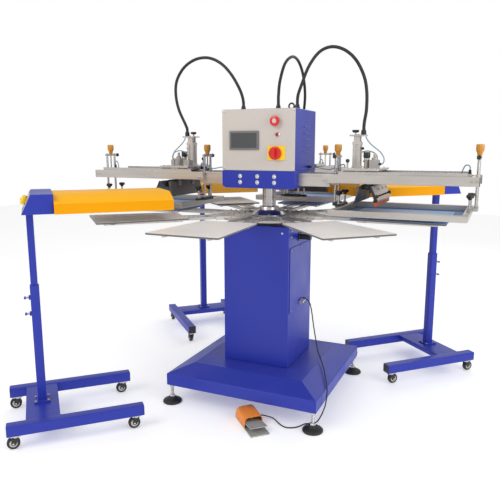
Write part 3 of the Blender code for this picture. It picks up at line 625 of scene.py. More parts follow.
def build_shaft():
    """The main shaft with the flange that holds the carousel down."""
    low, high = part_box("main_shaft")
    radius = 0.034
    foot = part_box("carousel_hub")[1].z - 0.0097
    flange = (
        (radius, 0), (0.0885, 0), (0.0900, 0.0015), (0.0895, 0.0060), (0.0860, 0.0080), (0.0800, 0.0120),
        (0.0725, 0.0210), (0.0640, 0.0255), (0.0510, 0.0295), (0.0500, 0.0320), (0.0500, 0.0430),
        (0.0485, 0.0450), (0.0400, 0.0455), (0.0385, 0.0470), (radius + 0.0003, 0.0485),
    )
    profile = ((radius, low.z), *((out, foot + rise) for out, rise in flange), (radius, high.z))
    shaft = piece("shaft_and_flange", [turned(profile, sides=64)], STEEL, bevel=0)
    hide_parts("main_shaft")
    piece("flange_bolts", bolt_circle(8, 0.0820, foot + 0.0085, 0.0042), STEEL, bevel=0)


# Carousel


def build_carousel():
    dress("carousel_hub", CAST)
    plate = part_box("pallet_1")[0].z
    bolts, brackets, holes = [], [], []
    for station in range(8):
        spin = Matrix.Rotation(math.tau * station / 8, 4, "Z")
        for side in (-1, 1):
            for out in (0.175, 0.205, 0.235):
                bolts.append(bolt(spin @ Vector((out, side * 0.038, plate - 0.0004)), Z, 0.0048))
            bracket = box((0.158, side * 0.0485, plate - 0.018), (0.300, side * 0.0515, plate - 0.001))
            bracket.transform(spin)
            brackets.append(bracket)
            for out in (0.190, 0.225, 0.260):
                centre = spin @ Vector((out, side * 0.0512, plate - 0.0085))
                bolts.append(bolt(centre, spin.to_3x3() @ Vector((0, side, 0)), 0.0038))
            # Flat black discs on the arm bars: painted shade standing in for the bars' holes
            for i in range(5):
                out = 0.345 + 0.022 * i
                ring = ((0.0052, 0), (0.0052, 0.0005), (0.0034, 0.0005))
                holes.append(turned(ring, spin @ Vector((out, side * 0.038, plate - 0.0004)), Z, 18))
    piece("arm_brackets", brackets, ALUMINIUM, "carousel", bevel=0.0006)
    piece("hub_bolts", bolts, STEEL, "carousel", bevel=0)
    piece("arm_bushes", holes, BLACK, "carousel", bevel=0)
    for number in range(1, 9):
        dress("pallet_%d" % number, PALLET, 0.0015)
        spin = Matrix.Rotation(math.tau * (number - 1) / 8 - math.pi / 2, 4, "Z")
        brace = []
        for y in (-0.100, 0.100):
            brace.append(box((0.480, y - 0.006, plate - 0.012), (0.840, y + 0.006, plate - SKIN)))
        for out in (0.800, 0.515):
            brace.append(box((out - 0.010, -0.106, plate - 0.0118), (out + 0.010, 0.106, plate - 0.001)))
        piece("pallet_braces_%d" % number, brace, ALUMINIUM, "carousel", at=spin)


# Head mount and control box


def build_box():
    dress("head_mount", BLUE, 0.002)
    dress("control_box", BLUE, 0.0012)
    dress("box_front_panel", GREY, 0.0006)
    low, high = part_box("control_box")
    face = low.y - 0.0033
    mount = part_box("head_mount")[0]
    bolts = []
    for x in (-0.092, -0.001, 0.087):
        for z in (mount.z + 0.029, mount.z + 0.058):
            bolts.append(turned(((0.0105, 0), (0.0105, 0.0018)), (x, mount.y, z), FRONT))
            bolts.append(bolt((x, mount.y - 0.0015, z), FRONT, 0.0075))
    piece("mount_bolts", bolts, CHROME, bevel=0)
    pan_head = ((0.0045, 0), (0.0042, 0.0015), (0.0024, 0.0022))
    screws = []
    for x in (low.x + 0.010, high.x - 0.010):
        screws += [turned(pan_head, (x, face, z), FRONT, 16) for z in (low.z + 0.010, 1.445)]
    piece("panel_corner_screws", screws, STEEL, bevel=0)

    bezel = prism(rounded((-0.1475, 1.2635), (0.0065, 1.3525), 0.003), face - 0.0072, face + 0.001)
    piece("touch_screen_bezel", [bezel], BEZEL, bevel=0.0012, segments=3)
    glass = prism(rounded((-0.138, 1.2725), (-0.003, 1.3435), 0.0015), face - 0.0078, face - 0.006)
    piece("touch_screen_glass", [glass], GLASS, bevel=0.0003)

    centre = (0.093, face - 0.0062, 1.396)
    collar = ((0.0195, -0.006), (0.0195, -0.0006), (0.0185, 0), (0.0125, 0), (0.0125, 0.0050))
    piece("stop_collar", [turned(collar, centre, FRONT, 40)], CHROME, bevel=0)
    stop_low, stop_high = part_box("emergency_stop")
    place = Vector(((stop_low.x + stop_high.x) / 2, stop_high.y, (stop_low.z + stop_high.z) / 2))
    head = (
        (0.0132, 0.0056), (0.0132, 0), (0.0215, 0.001), (0.0240, 0.003),
        (0.0240, 0.0075), (0.0228, 0.0100), (0.0190, 0.0118), (0.0110, 0.0125),
    )
    mushroom = turned(head, place, FRONT, 48)
    button = piece("stop_button", [mushroom], RED, "emergency_stop", bevel=0)
    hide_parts("emergency_stop")
    disc = ((0.0105, 0), (0.0105, 0.0005), (0.0090, 0.0008))
    cap = turned(disc, place + FRONT * 0.0123, FRONT, 32)
    piece("stop_button_cap", [cap], GREY, "emergency_stop", bevel=0)

    lamp = (0.101, face, 1.334)
    ring = ((0.0118, 0), (0.0118, 0.004), (0.0105, 0.0052), (0.0088, 0.0052))
    piece("lamp_ring", [turned(ring, lamp, FRONT, 32)], CHROME, bevel=0)
    lens = ((0.0092, 0.003), (0.0090, 0.0070), (0.0074, 0.0088), (0.0045, 0.0098))
    piece("lamp_lens", [turned(lens, lamp, FRONT, 32)], LENS_RED, bevel=0)

    plate = prism(rounded((0.0520, 1.2150), (0.1410, 1.2820), 0.004), face - 0.0035, face + 0.001)
    piece("switch_plate", [plate], YELLOW_PLASTIC, bevel=0.0008)
    knob_low, knob_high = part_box("main_switch_knob")
    pivot = (knob_low.x / 2 + knob_high.x / 2, knob_high.y, knob_low.z / 2 + knob_high.z / 2)
    disc = ((0.0295, 0), (0.0308, 0.0015), (0.0308, 0.008), (0.0290, 0.0105), (0.0250, 0.0115))
    grip = prism(rounded((-0.0062, -0.0275), (0.0062, 0.0275), 0.0055), -0.0295, -0.008)
    grip.transform(Matrix.Translation(pivot))
    handle = [turned(disc, pivot, FRONT, 48), grip]
    turner = piece("switch_handle", handle, RED, "main_switch_knob", bevel=0.0012, segments=3)
    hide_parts("main_switch_knob")

    glands = []
    for route in HOSE_ROUTES.values():
        x, y, z = route[0]
        glands.append(nut((x, y, z - 0.0243), Z, 0.0265, 0.009))
        profile = ((0.0128, 0.008), (0.0128, 0.012), (0.0116, 0.0135), (0.0108, 0.022), (0.0088, 0.0262))
        glands.append(turned(profile, (x, y, z - 0.0243), Z, 24))
    piece("hose_glands", glands, BLACK, bevel=0.0005)
    eye_place = Vector(HOSE_ROUTES["right"][0]) - X * 0.030
    loop = []
    for i in range(25):
        angle = math.tau * i / 24
        loop.append(eye_place + Vector((0.0135 * math.cos(angle), 0, 0.0135 * math.sin(angle) - 0.006)))
    shank = ((0.013, 0), (0.013, 0.005), (0.009, 0.007), (0.006, 0.010))
    eye = [turned(shank, eye_place - Z * 0.0243, Z, 28), swept(loop, 0.0042, 12)]
    piece("lifting_eye", eye, BLACK, bevel=0)


# Print heads

# How far the clamp rods stand from a screen's middle, and how high a grip's top is above its yoke
CLAMP_ROD_OUT = 0.033
GRIP_TOP = 0.062
DRIVE_HIGH = 1.142
AIR_TUBE_RADIUS = 0.0028
# The places along the arm of the carriage's lift and of the knob on it
LIFT_OUT = 0.447
LIFT_KNOB_OUT = 0.436

HEADS = {}
for joint in frame["joints"]:
    if joint["name"].startswith("carriage_slide_"):
        turn = math.atan2(joint["axis"][1], joint["axis"][0])
        HEADS[joint["name"].removeprefix("carriage_slide_")] = Matrix.Rotation(turn, 4, "Z")


def build_arm(name, at):
    put = placer(name, "machine", at)
    dress("head_arm_" + name, ALUMINIUM, 0.001)
    low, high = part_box("head_frame_right")
    bolts = []
    for side in (-1, 1):
        for along in (low.x + 0.012, low.x + 0.022):
            bolts.append(bolt((along, side * high.y, low.z + 0.012), (0, side, 0), 0.0052))
        for along in (high.x - 0.010, high.x - 0.030):
            bolts.append(bolt((along, side * high.y, low.z + 0.020), (0, side, 0), 0.0048))
    put("frame_bolts", bolts, STEEL, bevel=0)


def build_beams(name, at):
    put = placer(name, "machine", at)
    dress("head_frame_" + name, ALUMINIUM, 0.0012)
    low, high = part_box("head_frame_right")
    beam_top = high.z - 0.014
    rail = (
        (0.0066, 0), (0.0066, 0.0040), (0.0048, 0.0062),
        (0.0048, 0.0085), (0.0066, 0.0105), (0.0066, 0.0143),
    )
    screw = ((0.0030, 0), (0.0030, 0.0005), (0.0016, 0.0005))
    rails, caps, screws = [], [], []
    for side in (-1, 1):
        middle = side * (high.y - 0.0125)
        outline = [(middle + a, beam_top + b) for a, b in mirrored(rail)]
        rails.append(prism(outline, 0.389, 0.946, axes="yz"))
        for i in range(9):
            screws.append(turned(screw, (0.410 + 0.064 * i, middle, high.z), Z, 14))
        cap = rounded((middle - 0.0122, low.z + 0.0004), (middle + 0.0122, beam_top - 0.0004), 0.002)
        caps.append(prism(cap, high.x - 0.0005, high.x + 0.0025, axes="yz"))
    put("rails", rails, STEEL, bevel=0.0003)
    put("rail_screws", screws, BLACK, bevel=0)
    put("beam_caps", caps, BLACK, bevel=0.0006)


def build_drive(name, at):
    """The air cylinder between the beams that drives the carriage, with its fittings and tubes."""
    put = placer(name, "machine", at)
    high = DRIVE_HIGH
    cylinder = [rod((0.386, 0, high), (0.955, 0, high), 0.0150, sides=32)]
    end_block = rounded((-0.0185, high - 0.0185), (0.0185, high + 0.0185), 0.004)
    for start, end in ((0.378, 0.398), (0.938, 0.957)):
        cylinder.append(prism(end_block, start, end, axes="yz"))
    put("drive_cylinder", cylinder, ALUMINIUM, bevel=0.0008)
    fitting = ((0.0075, 0), (0.0075, 0.006), (0.0062, 0.007), (0.0062, 0.016), (0.0050, 0.018))
    black = [turned(fitting, (x, 0.006, high + 0.0180), Z, 6) for x in (0.388, 0.948)]
    box_side = 0.157 if name == "back" else 0.189
    black.append(turned(fitting, (box_side, 0.052, 1.180), X, 18))
    put("drive_fittings", black, BLACK, bevel=0.0003)
    outer_tube = (
        (0.948, 0.006, high + 0.034), (0.948, 0.006, high + 0.046), (0.940, 0.010, high + 0.056),
        (0.926, 0.016, high + 0.052), (0.916, 0.022, high + 0.030), (0.912, 0.024, high + 0.004),
        (0.912, 0.024, high - 0.006),
    )
    inner_tube = (
        (0.388, 0.006, high + 0.034), (0.388, 0.006, high + 0.042), (0.380, 0.014, high + 0.052),
        (0.345, 0.052, high + 0.044), (0.300, 0.058, high + 0.026), (0.250, 0.054, high + 0.032),
        (box_side + 0.024, 0.052, 1.180), (box_side + 0.017, 0.052, 1.180),
    )
    tubes = [swept(smooth(route, 6), AIR_TUBE_RADIUS, 12) for route in (outer_tube, inner_tube)]
    put("drive_tubes", tubes, AIR_TUBE, bevel=0)


def build_clamp(name, end, at):
    """The rods, yoke, adjusting knob and jaw at one end of a screen."""
    node = end + "_clamp_"
    low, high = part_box(node + "right")
    inward = 1 if end == "inner" else -1
    middle = low.x + 0.009 if end == "inner" else high.x - 0.009
    jaw_low = low.z
    yoke = high.z - GRIP_TOP
    body = "screen_" + name
    put = placer(name, body, at)
    bush = ((0.0095, 0), (0.0095, 0.004), (0.0082, 0.006))
    rods, hardware, bushes = [], [], []
    for side in (-1, 1):
        y = side * CLAMP_ROD_OUT
        rods.append(rod((middle, y, jaw_low + 0.012), (middle, y, yoke + 0.006), 0.0060))
        hardware.append(nut((middle, y, yoke + 0.009), Z, 0.0105, 0.0045))
        hardware.append(nut((middle, y, jaw_low + 0.016), Z, 0.0130, 0.0060))
        bushes.append(turned(bush, (middle, y, 1.1525), Z, 20))
    rods.append(turned(thread(0.0044, 0.0038, yoke - 0.066, yoke + 0.028, 50), (middle, 0, 0), sides=14))
    plate_half = CLAMP_ROD_OUT + 0.0125
    plate = rounded((middle - 0.0090, -plate_half), (middle + 0.0090, plate_half), 0.0085)
    hardware.append(prism(plate, yoke, yoke + 0.009, axes="xy"))
    put(end + "_rods", rods, STEEL, bevel=0)
    put(end + "_yoke", hardware, CAST, bevel=0.0006)
    piece(end + "_guide_bushes_" + name, bushes, CAST, at=at, bevel=0.0003)
    grip = (
        (0.0085, 0.0090), (0.0100, 0.0120), (0.0110, 0.0190), (0.0120, 0.0250), (0.0150, 0.0300),
        (0.0166, 0.0350), (0.0166, 0.0560), (0.0155, 0.0600), (0.0110, 0.0618),
    )
    knob = turned(grip, (middle, 0, yoke), Z, 72, lobes=12, depth=0.045)
    clamp_knob = put(end + "_knob", [knob], AMBER, bevel=0)
    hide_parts(node + name)
    collar = turned(((0.0090, 0.009), (0.0090, 0.016), (0.0075, 0.018)), (middle, 0, yoke), Z, 24)
    thumbscrew = ((0.0030, 0), (0.0030, 0.010), (0.0085, 0.011), (0.0100, 0.016), (0.0085, 0.021))
    side_place = (middle, 0.0015 - plate_half, yoke + 0.0045)
    side_knob = turned(thumbscrew, side_place, FRONT, 40, lobes=5, depth=0.10)
    put(end + "_thumbscrew", [side_knob], BLACK, bevel=0)
    put(end + "_collar", [collar], BRASS, bevel=0)
    tip = middle + inward * 0.036
    back = middle - inward * 0.009
    block = [
        box((back, -0.046, jaw_low), (middle + inward * 0.014, 0.046, jaw_low + 0.0155)),
        box((middle + inward * 0.010, -0.074, jaw_low + 0.0002), (tip, 0.074, jaw_low + 0.0100)),
    ]
    put(end + "_jaw", block, BLACK if end == "inner" else CAST, bevel=0.0012)
    star = (
        (0.0075, 0.050), (0.0085, 0.056), (0.0145, 0.060), (0.0160, 0.064),
        (0.0160, 0.069), (0.0140, 0.0725), (0.0070, 0.0735),
    )
    stars, studs = [], []
    for side in (-1, 1):
        x, y = tip - inward * 0.011, side * 0.058
        studs.append(rod((x, y, jaw_low + 0.006), (x, y, jaw_low + 0.060), 0.0046))
        studs.append(nut((x, y, jaw_low + 0.010), Z, 0.0150, 0.006))
        studs.append(bolt((middle, side * 0.014, jaw_low + 0.0150), Z, 0.0042))
        stars.append(turned(star, (x, y, jaw_low), Z, 60, lobes=5, depth=0.09))
    put(end + "_star_knobs", stars, BLACK, bevel=0)
    put(end + "_studs", studs, STEEL, bevel=0.0003)


def build_screen(name, at):
    low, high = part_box("screen_right")
    body = "screen_" + name
    put = placer(name, body, at)
    wide = 0.025

    def corners_in_by(edge):
        near, far = low.x + edge, high.x - edge
        right, left = low.y + edge, high.y - edge
        return ((near, right), (far, right), (far, left), (near, left))

    corners, inside = corners_in_by(0), corners_in_by(wide)
    tubes, welds = [], []
    for i in range(4):
        j = (i + 1) % 4
        outline = (corners[i], corners[j], inside[j], inside[i])
        tubes.append(prism(outline, low.z + 0.0012, high.z, axes="xy"))
        a, b = Vector((*corners[i], high.z)), Vector((*inside[i], high.z))
        welds.append(rod(a.lerp(b, 0.06), a.lerp(b, 0.94), 0.0012, sides=10))
    frame_piece = put("screen_frame", tubes, ALUMINIUM, bevel=0.0018, segments=3)
    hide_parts("screen_" + name)
    put("screen_welds", welds, CAST, bevel=0)
    cloth_low = (low.x + 0.004, low.y + 0.004)
    cloth_high = (high.x - 0.004, high.y - 0.004)
    cloth = prism(rounded(cloth_low, cloth_high, 0.004), low.z, low.z + 0.0013, axes="xy")
    put("screen_mesh", [cloth], MESH, bevel=0)
    border = 0.052
    stencil_low = (low.x + wide + border, low.y + wide + border * 0.8)
    stencil_high = (high.x - wide - border, high.y - wide - border * 0.8)
    film = []
    for start, end in (
        (inside[0], (stencil_low[0], inside[2][1])),
        ((stencil_high[0], inside[0][1]), inside[2]),
        ((stencil_low[0], inside[0][1]), (stencil_high[0], stencil_low[1])),
        ((stencil_low[0], stencil_high[1]), (stencil_high[0], inside[2][1])),
    ):
        film.append(box((*start, low.z + 0.0010), (*end, low.z + 0.0018)))
    put("screen_stencil", film, STENCIL, bevel=0)


def build_carriage(name, at):
    low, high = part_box("carriage_right")
    body = "carriage_" + name
    put = placer(name, body, at)
    floor, deck = low.z + 0.0035, low.z + 0.0135
    plate = prism(rounded((low.x, low.y), (low.x + 0.170, high.y), 0.006), floor, deck, axes="xy")
    bridge = put("carriage_bridge", [plate], ALUMINIUM, bevel=0.0010)
    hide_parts(body)
    blocks, bolts = [], []
    for side in (-1, 1):
        y = side * 0.1125
        for x in (low.x + 0.010, low.x + 0.110):
            blocks.append(box((x, y - 0.0108, low.z + 0.0002), (x + 0.050, y + 0.0108, floor + 0.002)))
        for along in (low.x + 0.022, low.x + 0.048, low.x + 0.122, low.x + 0.148):
            bolts.append(bolt((along, y - 0.005, deck), Z, 0.0038))
            bolts.append(bolt((along, y + 0.006, deck), Z, 0.0038))
    put("rail_blocks", blocks, BLACK, bevel=0.0008)

    lift = [
        box((0.4275, -0.0235, deck - 0.001), (0.4665, 0.0235, deck + 0.012)),
        box((0.4275, -0.0235, 1.288), (0.4665, 0.0235, 1.300)),
    ]
    slotted = (
        (0.0040, -0.0180), (0.0040, -0.0220), (0.0175, -0.0220), (0.0175, -0.0060), (0.0140, -0.0060),
        (0.0140, 0.0060), (0.0175, 0.0060), (0.0175, 0.0220), (0.0040, 0.0220), (0.0040, 0.0180),
    )
    profile = [(LIFT_OUT + a, b) for a, b in mirrored(slotted)]
    lift.append(prism(profile, deck + 0.011, 1.289, axes="xy"))
    put("lift_cylinder", lift, ALUMINIUM, bevel=0.0008)
    neck = [box((0.4335, side * 0.0205, 1.299), (0.4605, side * 0.0085, 1.3265)) for side in (-1, 1)]
    neck.append(box((0.4400, -0.0100, 1.299), (0.4540, 0.0100, 1.3265)))
    put("lift_neck", neck, ALUMINIUM, bevel=0.0008)
    steel = [
        prism(rounded((0.4150, -0.0300), (0.4890, 0.0300), 0.004), 1.3262, 1.3328, axes="xy"),
        rod((LIFT_KNOB_OUT, 0, 1.331), (LIFT_KNOB_OUT, 0, 1.344), 0.0036),
        nut((LIFT_KNOB_OUT, 0, 1.3325), Z, 0.0110, 0.0045),
    ]
    for side in (-1, 1):
        bolts.append(bolt((LIFT_OUT, side * 0.0165, 1.3328), Z, 0.0042))
        bolts.append(bolt((0.4335, side * 0.019, 1.300), Z, 0.0026))
        bolts.append(bolt((0.4610, side * 0.019, 1.300), Z, 0.0026))
    put("lift_top", steel, STEEL, bevel=0.0005)
    put("carriage_bolts", bolts, STEEL, bevel=0)

    knob = ((0.007, 0), (0.0125, 0.002), (0.0150, 0.006), (0.0160, 0.010), (0.0140, 0.0130))
    gland = ((0.0118, 0), (0.0118, 0.010), (0.0108, 0.011), (0.0108, 0.0155), (0.0096, 0.0160))
    cap = ((0.0150, 0), (0.0158, 0.002), (0.0158, 0.024), (0.0142, 0.027))
    lever_end = ((0.0050, 0), (0.0080, 0.003), (0.0092, 0.008), (0.0080, 0.013), (0.0045, 0.016))
    fitting = ((0.0050, 0), (0.0062, 0.002), (0.0062, 0.009), (0.0050, 0.011))
    gland_out = HOSE_ROUTES["right"][-1][0]
    black = [
        turned(knob, (LIFT_KNOB_OUT, 0, 1.3424), Z, 48, lobes=6, depth=0.07),
        nut((gland_out, 0, 1.3322), Z, 0.0230, 0.008),
        turned(gland, (gland_out, 0, 1.3398), Z, 28),
        turned(cap, (0.492, 0.004, 1.2265), Z, 54, lobes=18, depth=0.02),
        turned(lever_end, (0.421, -0.075, deck + 0.026), Z, 24),
        turned(fitting, (0.5520, -0.0100, 1.1985), X, 20),
        turned(fitting, (0.4670, 0.0000, 1.2700), X, 20),
    ]
    put("carriage_black_parts", black, BLACK, bevel=0)
    cylinder = ((0.0118, 0), (0.0118, 0.034), (0.0128, 0.035), (0.0128, 0.044), (0.0105, 0.047))
    valve_top = ((0.0135, 0), (0.0135, 0.010), (0.0062, 0.012), (0.0062, 0.026))
    valves = [
        turned(cylinder, (0.492, 0.004, deck), Z, 30),
        box((0.5085, -0.0195, deck - 0.0002), (0.5515, 0.0195, deck + 0.0375)),
        turned(valve_top, (0.530, 0, deck + 0.037), Z, 24),
        rod((0.421, -0.075, deck - 0.001), (0.421, -0.075, deck + 0.028), 0.0040),
        turned(((0.0105, 0), (0.0105, 0.030), (0.0085, 0.032)), (0.5300, 0.0600, deck - 0.0005), Z, 24),
        box((0.4180, 0.0450, deck - 0.0005), (0.4480, 0.0850, deck + 0.0300)),
    ]
    put("carriage_valves", valves, CAST, bevel=0.0006)
    spout = ((0.0042, 0), (0.0042, 0.006), (0.0034, 0.008))
    brass = [
        nut((0.530, 0, deck + 0.0625), Z, 0.0100, 0.006),
        nut((0.4335, 0.0650, deck + 0.0295), Z, 0.0100, 0.008),
        nut((0.5300, 0.0600, deck + 0.0310), Z, 0.0100, 0.008),
        turned(spout, (0.476, 0.010, deck + 0.030), (0.6, 0.8, 0), 18),
    ]
    put("carriage_fittings", brass, BRASS, bevel=0.0003)
    long_tube = (
        (0.4840, 0.0050, 1.3250), (0.4860, 0.0060, 1.3180), (0.5020, 0.0100, 1.2950),
        (0.5300, 0.0080, 1.2720), (0.5560, 0.0020, 1.2520), (0.5740, -0.0060, 1.2250),
        (0.5720, -0.0095, 1.2040), (0.5640, -0.0100, 1.1985), (0.5600, -0.0100, 1.1985),
    )
    loop_tube = (
        (0.4335, 0.0650, deck + 0.0370), (0.4335, 0.0650, deck + 0.0460),
        (0.4450, 0.0680, deck + 0.0680), (0.4800, 0.0720, deck + 0.0780),
        (0.5150, 0.0680, deck + 0.0680), (0.5300, 0.0600, deck + 0.0480),
        (0.5300, 0.0600, deck + 0.0390),
    )
    tubes = [swept(smooth(route, 6), AIR_TUBE_RADIUS, 12) for route in (long_tube, loop_tube)]
    put("air_tubes", tubes, AIR_TUBE, bevel=0)


def build_squeegee(name, at):
    low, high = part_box("squeegee_right")
    body = "squeegee_" + name
    put = placer(name, body, at)
    half = high.y - 0.001
    rods, block = [], [box((0.4905, -0.0845, 1.0855), (0.5475, 0.0845, 1.1058))]
    for side in (-1, 1):
        y = side * 0.060
        rods.append(rod((0.520, y, 1.102), (0.520, y, high.z), 0.0079))
        rods.append(nut((0.520, y, 1.1055), Z, 0.0200, 0.006))
        y = side * 0.090
        block.append(box((0.5300, y - 0.006, 1.0700), (0.5560, y + 0.006, 1.1020)))
    steel = put("squeegee_rods", rods, STEEL, bevel=0.0003)
    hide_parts(body)
    put("squeegee_block", block, BLACK, bevel=0.0012)

    outline = (
        (0.5475, 1.1020), (0.5535, 1.1035), (0.5840, 1.0420), (0.5825, 1.0350), (0.5770, 1.0335),
        (0.5660, 1.0335), (0.5625, 1.0385), (0.5660, 1.0450),
    )
    holder = prism(outline, -half + 0.003, half - 0.003)
    put("squeegee_holder", [holder], ALUMINIUM, bevel=0.0005)
    brow, toe = Vector((0.5535, 0, 1.1035)), Vector((0.5840, 0, 1.0420))
    along = (toe - brow).normalized()
    out = Vector((-along.z, 0, along.x))
    holes, fasteners = [], []
    for i in range(11):
        centre = brow + along * 0.050 + Vector((0, half * 0.78 * (i / 5 - 1), 0))
        holes.append(bolt(centre, out, 0.0040))
    for y in (-0.130, -0.045, 0.045, 0.130):
        centre = brow + along * 0.020 + Vector((0, y, 0))
        fasteners.append(bolt(centre - out * 0.0003, out, 0.0048))
    for side in (-1, 1):
        near, far = sorted((side * (half - 0.0035), side * half))
        holes.append(prism(outline, near, far))
        holes.append(bolt(brow + along * 0.050 + Vector((0, side * (half - 0.012), 0)), out, 0.0080))
    put("squeegee_ends_and_holes", holes, BLACK, bevel=0.0004)
    put("squeegee_bolts", fasteners, STEEL, bevel=0)
    blade = (
        (0.5685, 1.0400), (0.5765, 1.0400), (0.5762, low.z + 0.0015), (0.5750, low.z),
        (0.5698, low.z), (0.5688, low.z + 0.0015),
    )
    put("squeegee_blade", [prism(blade, -half, half)], BLADE, bevel=0.0004)
    flood = (
        (0.4865, 1.0998), (0.4975, 1.0998), (0.4970, 1.0850), (0.4880, 1.0600), (0.4775, 1.0245),
        (0.4745, 1.0262), (0.4845, 1.0600), (0.4865, 1.0850),
    )
    bar = prism(flood, -half + 0.004, half - 0.004)
    put("flood_bar", [bar], DARK_STEEL, bevel=0.0005)
    ends = []
    for side in (-1, 1):
        ends.append(box((0.4830, side * 0.0700 - 0.009, 1.0780), (0.4905, side * 0.0700 + 0.009, 1.1020)))
        ends.append(bolt((0.4832, side * 0.0700, 1.0900), (-1, 0, 0), 0.0050))
        ends.append(bolt(Vector((0.5560, side * 0.090, 1.0850)), (1, 0, 0), 0.0050))
    put("squeegee_brackets", ends, CAST, bevel=0.0006)
    knob = ((0.0035, 0), (0.0035, 0.006), (0.0100, 0.008), (0.0115, 0.013), (0.0095, 0.017))
    knobs = []
    for side in (-1, 1):
        knobs.append(turned(knob, (0.5200, side * 0.0845, 1.0955), (0, side, 0), 48, lobes=6, depth=0.08))
    put("squeegee_knobs", knobs, BLACK, bevel=0)


def build_heads():
    for name, at in HEADS.items():
        build_arm(name, at)
        build_beams(name, at)
        build_drive(name, at)
        build_clamp(name, "inner", at)
        build_clamp(name, "outer", at)
        build_screen(name, at)
        build_carriage(name, at)
        build_squeegee(name, at)


# Flash dryers

DRYERS = {}
for joint in frame["joints"]:
    if joint["name"].startswith("dryer_roll_"):
        name = joint["name"].removeprefix("dryer_roll_")
        turn = math.atan2(joint["axis"][1], joint["axis"][0])
        post = turned_box("dryer_stand_" + name, turn)[0].x + 0.435
        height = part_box("dryer_heater_" + name)[0].z
        DRYERS[name] = (Matrix.Rotation(turn, 4, "Z") @ Matrix.Translation((post, 0, 0)), height)

# The floor tubes' height and ends, the post's top and how far the tubes lie from the middle
TUBE_LOW = 0.064
TUBE_TOP = 0.112
TUBE_ENDS = (-0.433, 0.148)
POST_TOP = 0.6655
STAND_HALF = 0.205
CASTORS = [(x, y) for x in (-0.400, 0.115) for y in (-STAND_HALF, STAND_HALF)]


def build_stand(name, at):
    body = "dryer_stand_" + name
    put = placer(name, body, at)
    tubes, caps = [], []
    for side in (-1, 1):
        y = side * STAND_HALF
        section = rounded((y - 0.0248, TUBE_LOW), (y + 0.0248, TUBE_TOP), 0.004, 3)
        tubes.append(prism(section, *TUBE_ENDS, axes="yz"))
        for end, out in zip(TUBE_ENDS, (-1, 1)):
            section = rounded((y - 0.0235, TUBE_LOW + 0.0012), (y + 0.0235, TUBE_TOP - 0.0012), 0.004, 3)
            caps.append(prism(section, end - 0.001 * out, end + 0.002 * out, axes="yz"))
    cross = rounded((-0.0720, TUBE_TOP - 0.0300), (0.0720, TUBE_TOP - 0.0025), 0.003, 3)
    tubes.append(prism(cross, -STAND_HALF + 0.020, STAND_HALF - 0.020, axes="xz"))
    foot = rounded((-0.036, -0.036), (0.036, 0.036), 0.003)
    tubes.append(prism(foot, TUBE_TOP - 0.003, TUBE_TOP + 0.006, axes="xy"))
    post = prism(rounded((-0.0198, -0.0198), (0.0198, 0.0198), 0.003), TUBE_TOP, POST_TOP, axes="xy")
    bore = box((-0.0157, -0.0157, TUBE_TOP + 0.02), (0.0157, 0.0157, POST_TOP + 0.1))
    tubes.append(cut("post", post, bore))
    bolts = [bolt((x, y, TUBE_TOP + 0.006), Z, 0.0058) for x in (-0.028, 0.028) for y in (-0.028, 0.028)]
    for z in (0.534, 0.609):
        tubes.append(nut((0.0195, 0, z), X, 0.020, 0.008))
        bolts.append(rod((0.027, 0, z), (0.042, 0, z), 0.0048))
        tubes.append(box((0.0385, -0.0125, z - 0.004), (0.0475, 0.0125, z + 0.004)))
    stand = put("stand_tubes", tubes, BLUE, bevel=0.0010)
    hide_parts(body)
    put("stand_caps", caps, BLACK, bevel=0.0006)

    swivel = ((0.0150, 0), (0.0160, 0.003), (0.0160, 0.006), (0.0140, 0.008))
    wheel = (
        (0.0235, 0), (0.0262, 0.0015), (0.0275, 0.005),
        (0.0275, 0.015), (0.0262, 0.0185), (0.0235, 0.020),
    )
    hub = ((0.0165, -0.0005), (0.0165, 0.0002), (0.0090, 0.0004), (0.0080, 0.0016))
    across = Vector((0, 1, 0))
    plates, forks, tyres, hubs = [], [], [], []
    for x, y in CASTORS:
        plate = rounded((x - 0.0215, y - 0.0195), (x + 0.0215, y + 0.0195), 0.004)
        plates.append(prism(plate, TUBE_LOW - 0.0048, TUBE_LOW, axes="xy"))
        plates.append(turned(swivel, (x, y, TUBE_LOW - 0.0125), Z, 28))
        for dx in (-0.016, 0.016):
            for dy in (-0.014, 0.014):
                bolts.append(nut((x + dx, y + dy, TUBE_LOW - 0.0075), Z, 0.0070, 0.003))
        axle = Vector((x + 0.010, y, 0.0275))
        cheek = (
            (x - 0.012, 0.0525), (x - 0.012, 0.0470), (axle.x - 0.010, 0.0220), (axle.x, 0.0180),
            (axle.x + 0.009, 0.0240), (x + 0.016, 0.0470), (x + 0.016, 0.0525),
        )
        for side in (-1, 1):
            start, end = sorted((y + side * 0.0128, y + side * 0.0155))
            forks.append(prism(cheek, start, end))
        forks.append(box((x - 0.012, y - 0.0155, 0.0500), (x + 0.016, y + 0.0155, 0.0530)))
        forks.append(box((x + 0.012, y - 0.0100, 0.0555), (x + 0.0215, y + 0.0100, 0.0585)))
        tyres.append(turned(wheel, axle - across * 0.010, across, 40))
        hubs.append(turned(hub, axle + across * 0.0103, across, 28))
        hubs.append(turned(hub, axle - across * 0.0103, -across, 28))
        bolts.append(rod(axle - across * 0.0175, axle + across * 0.0175, 0.0040))
    put("castor_plates", plates, STEEL, bevel=0.0004)
    put("castor_forks", forks, BLACK, bevel=0.0008)
    put("castor_tyres", tyres, RUBBER, bevel=0)
    put("castor_hubs", hubs, GREY, bevel=0)
    put("stand_bolts", bolts, STEEL, bevel=0)


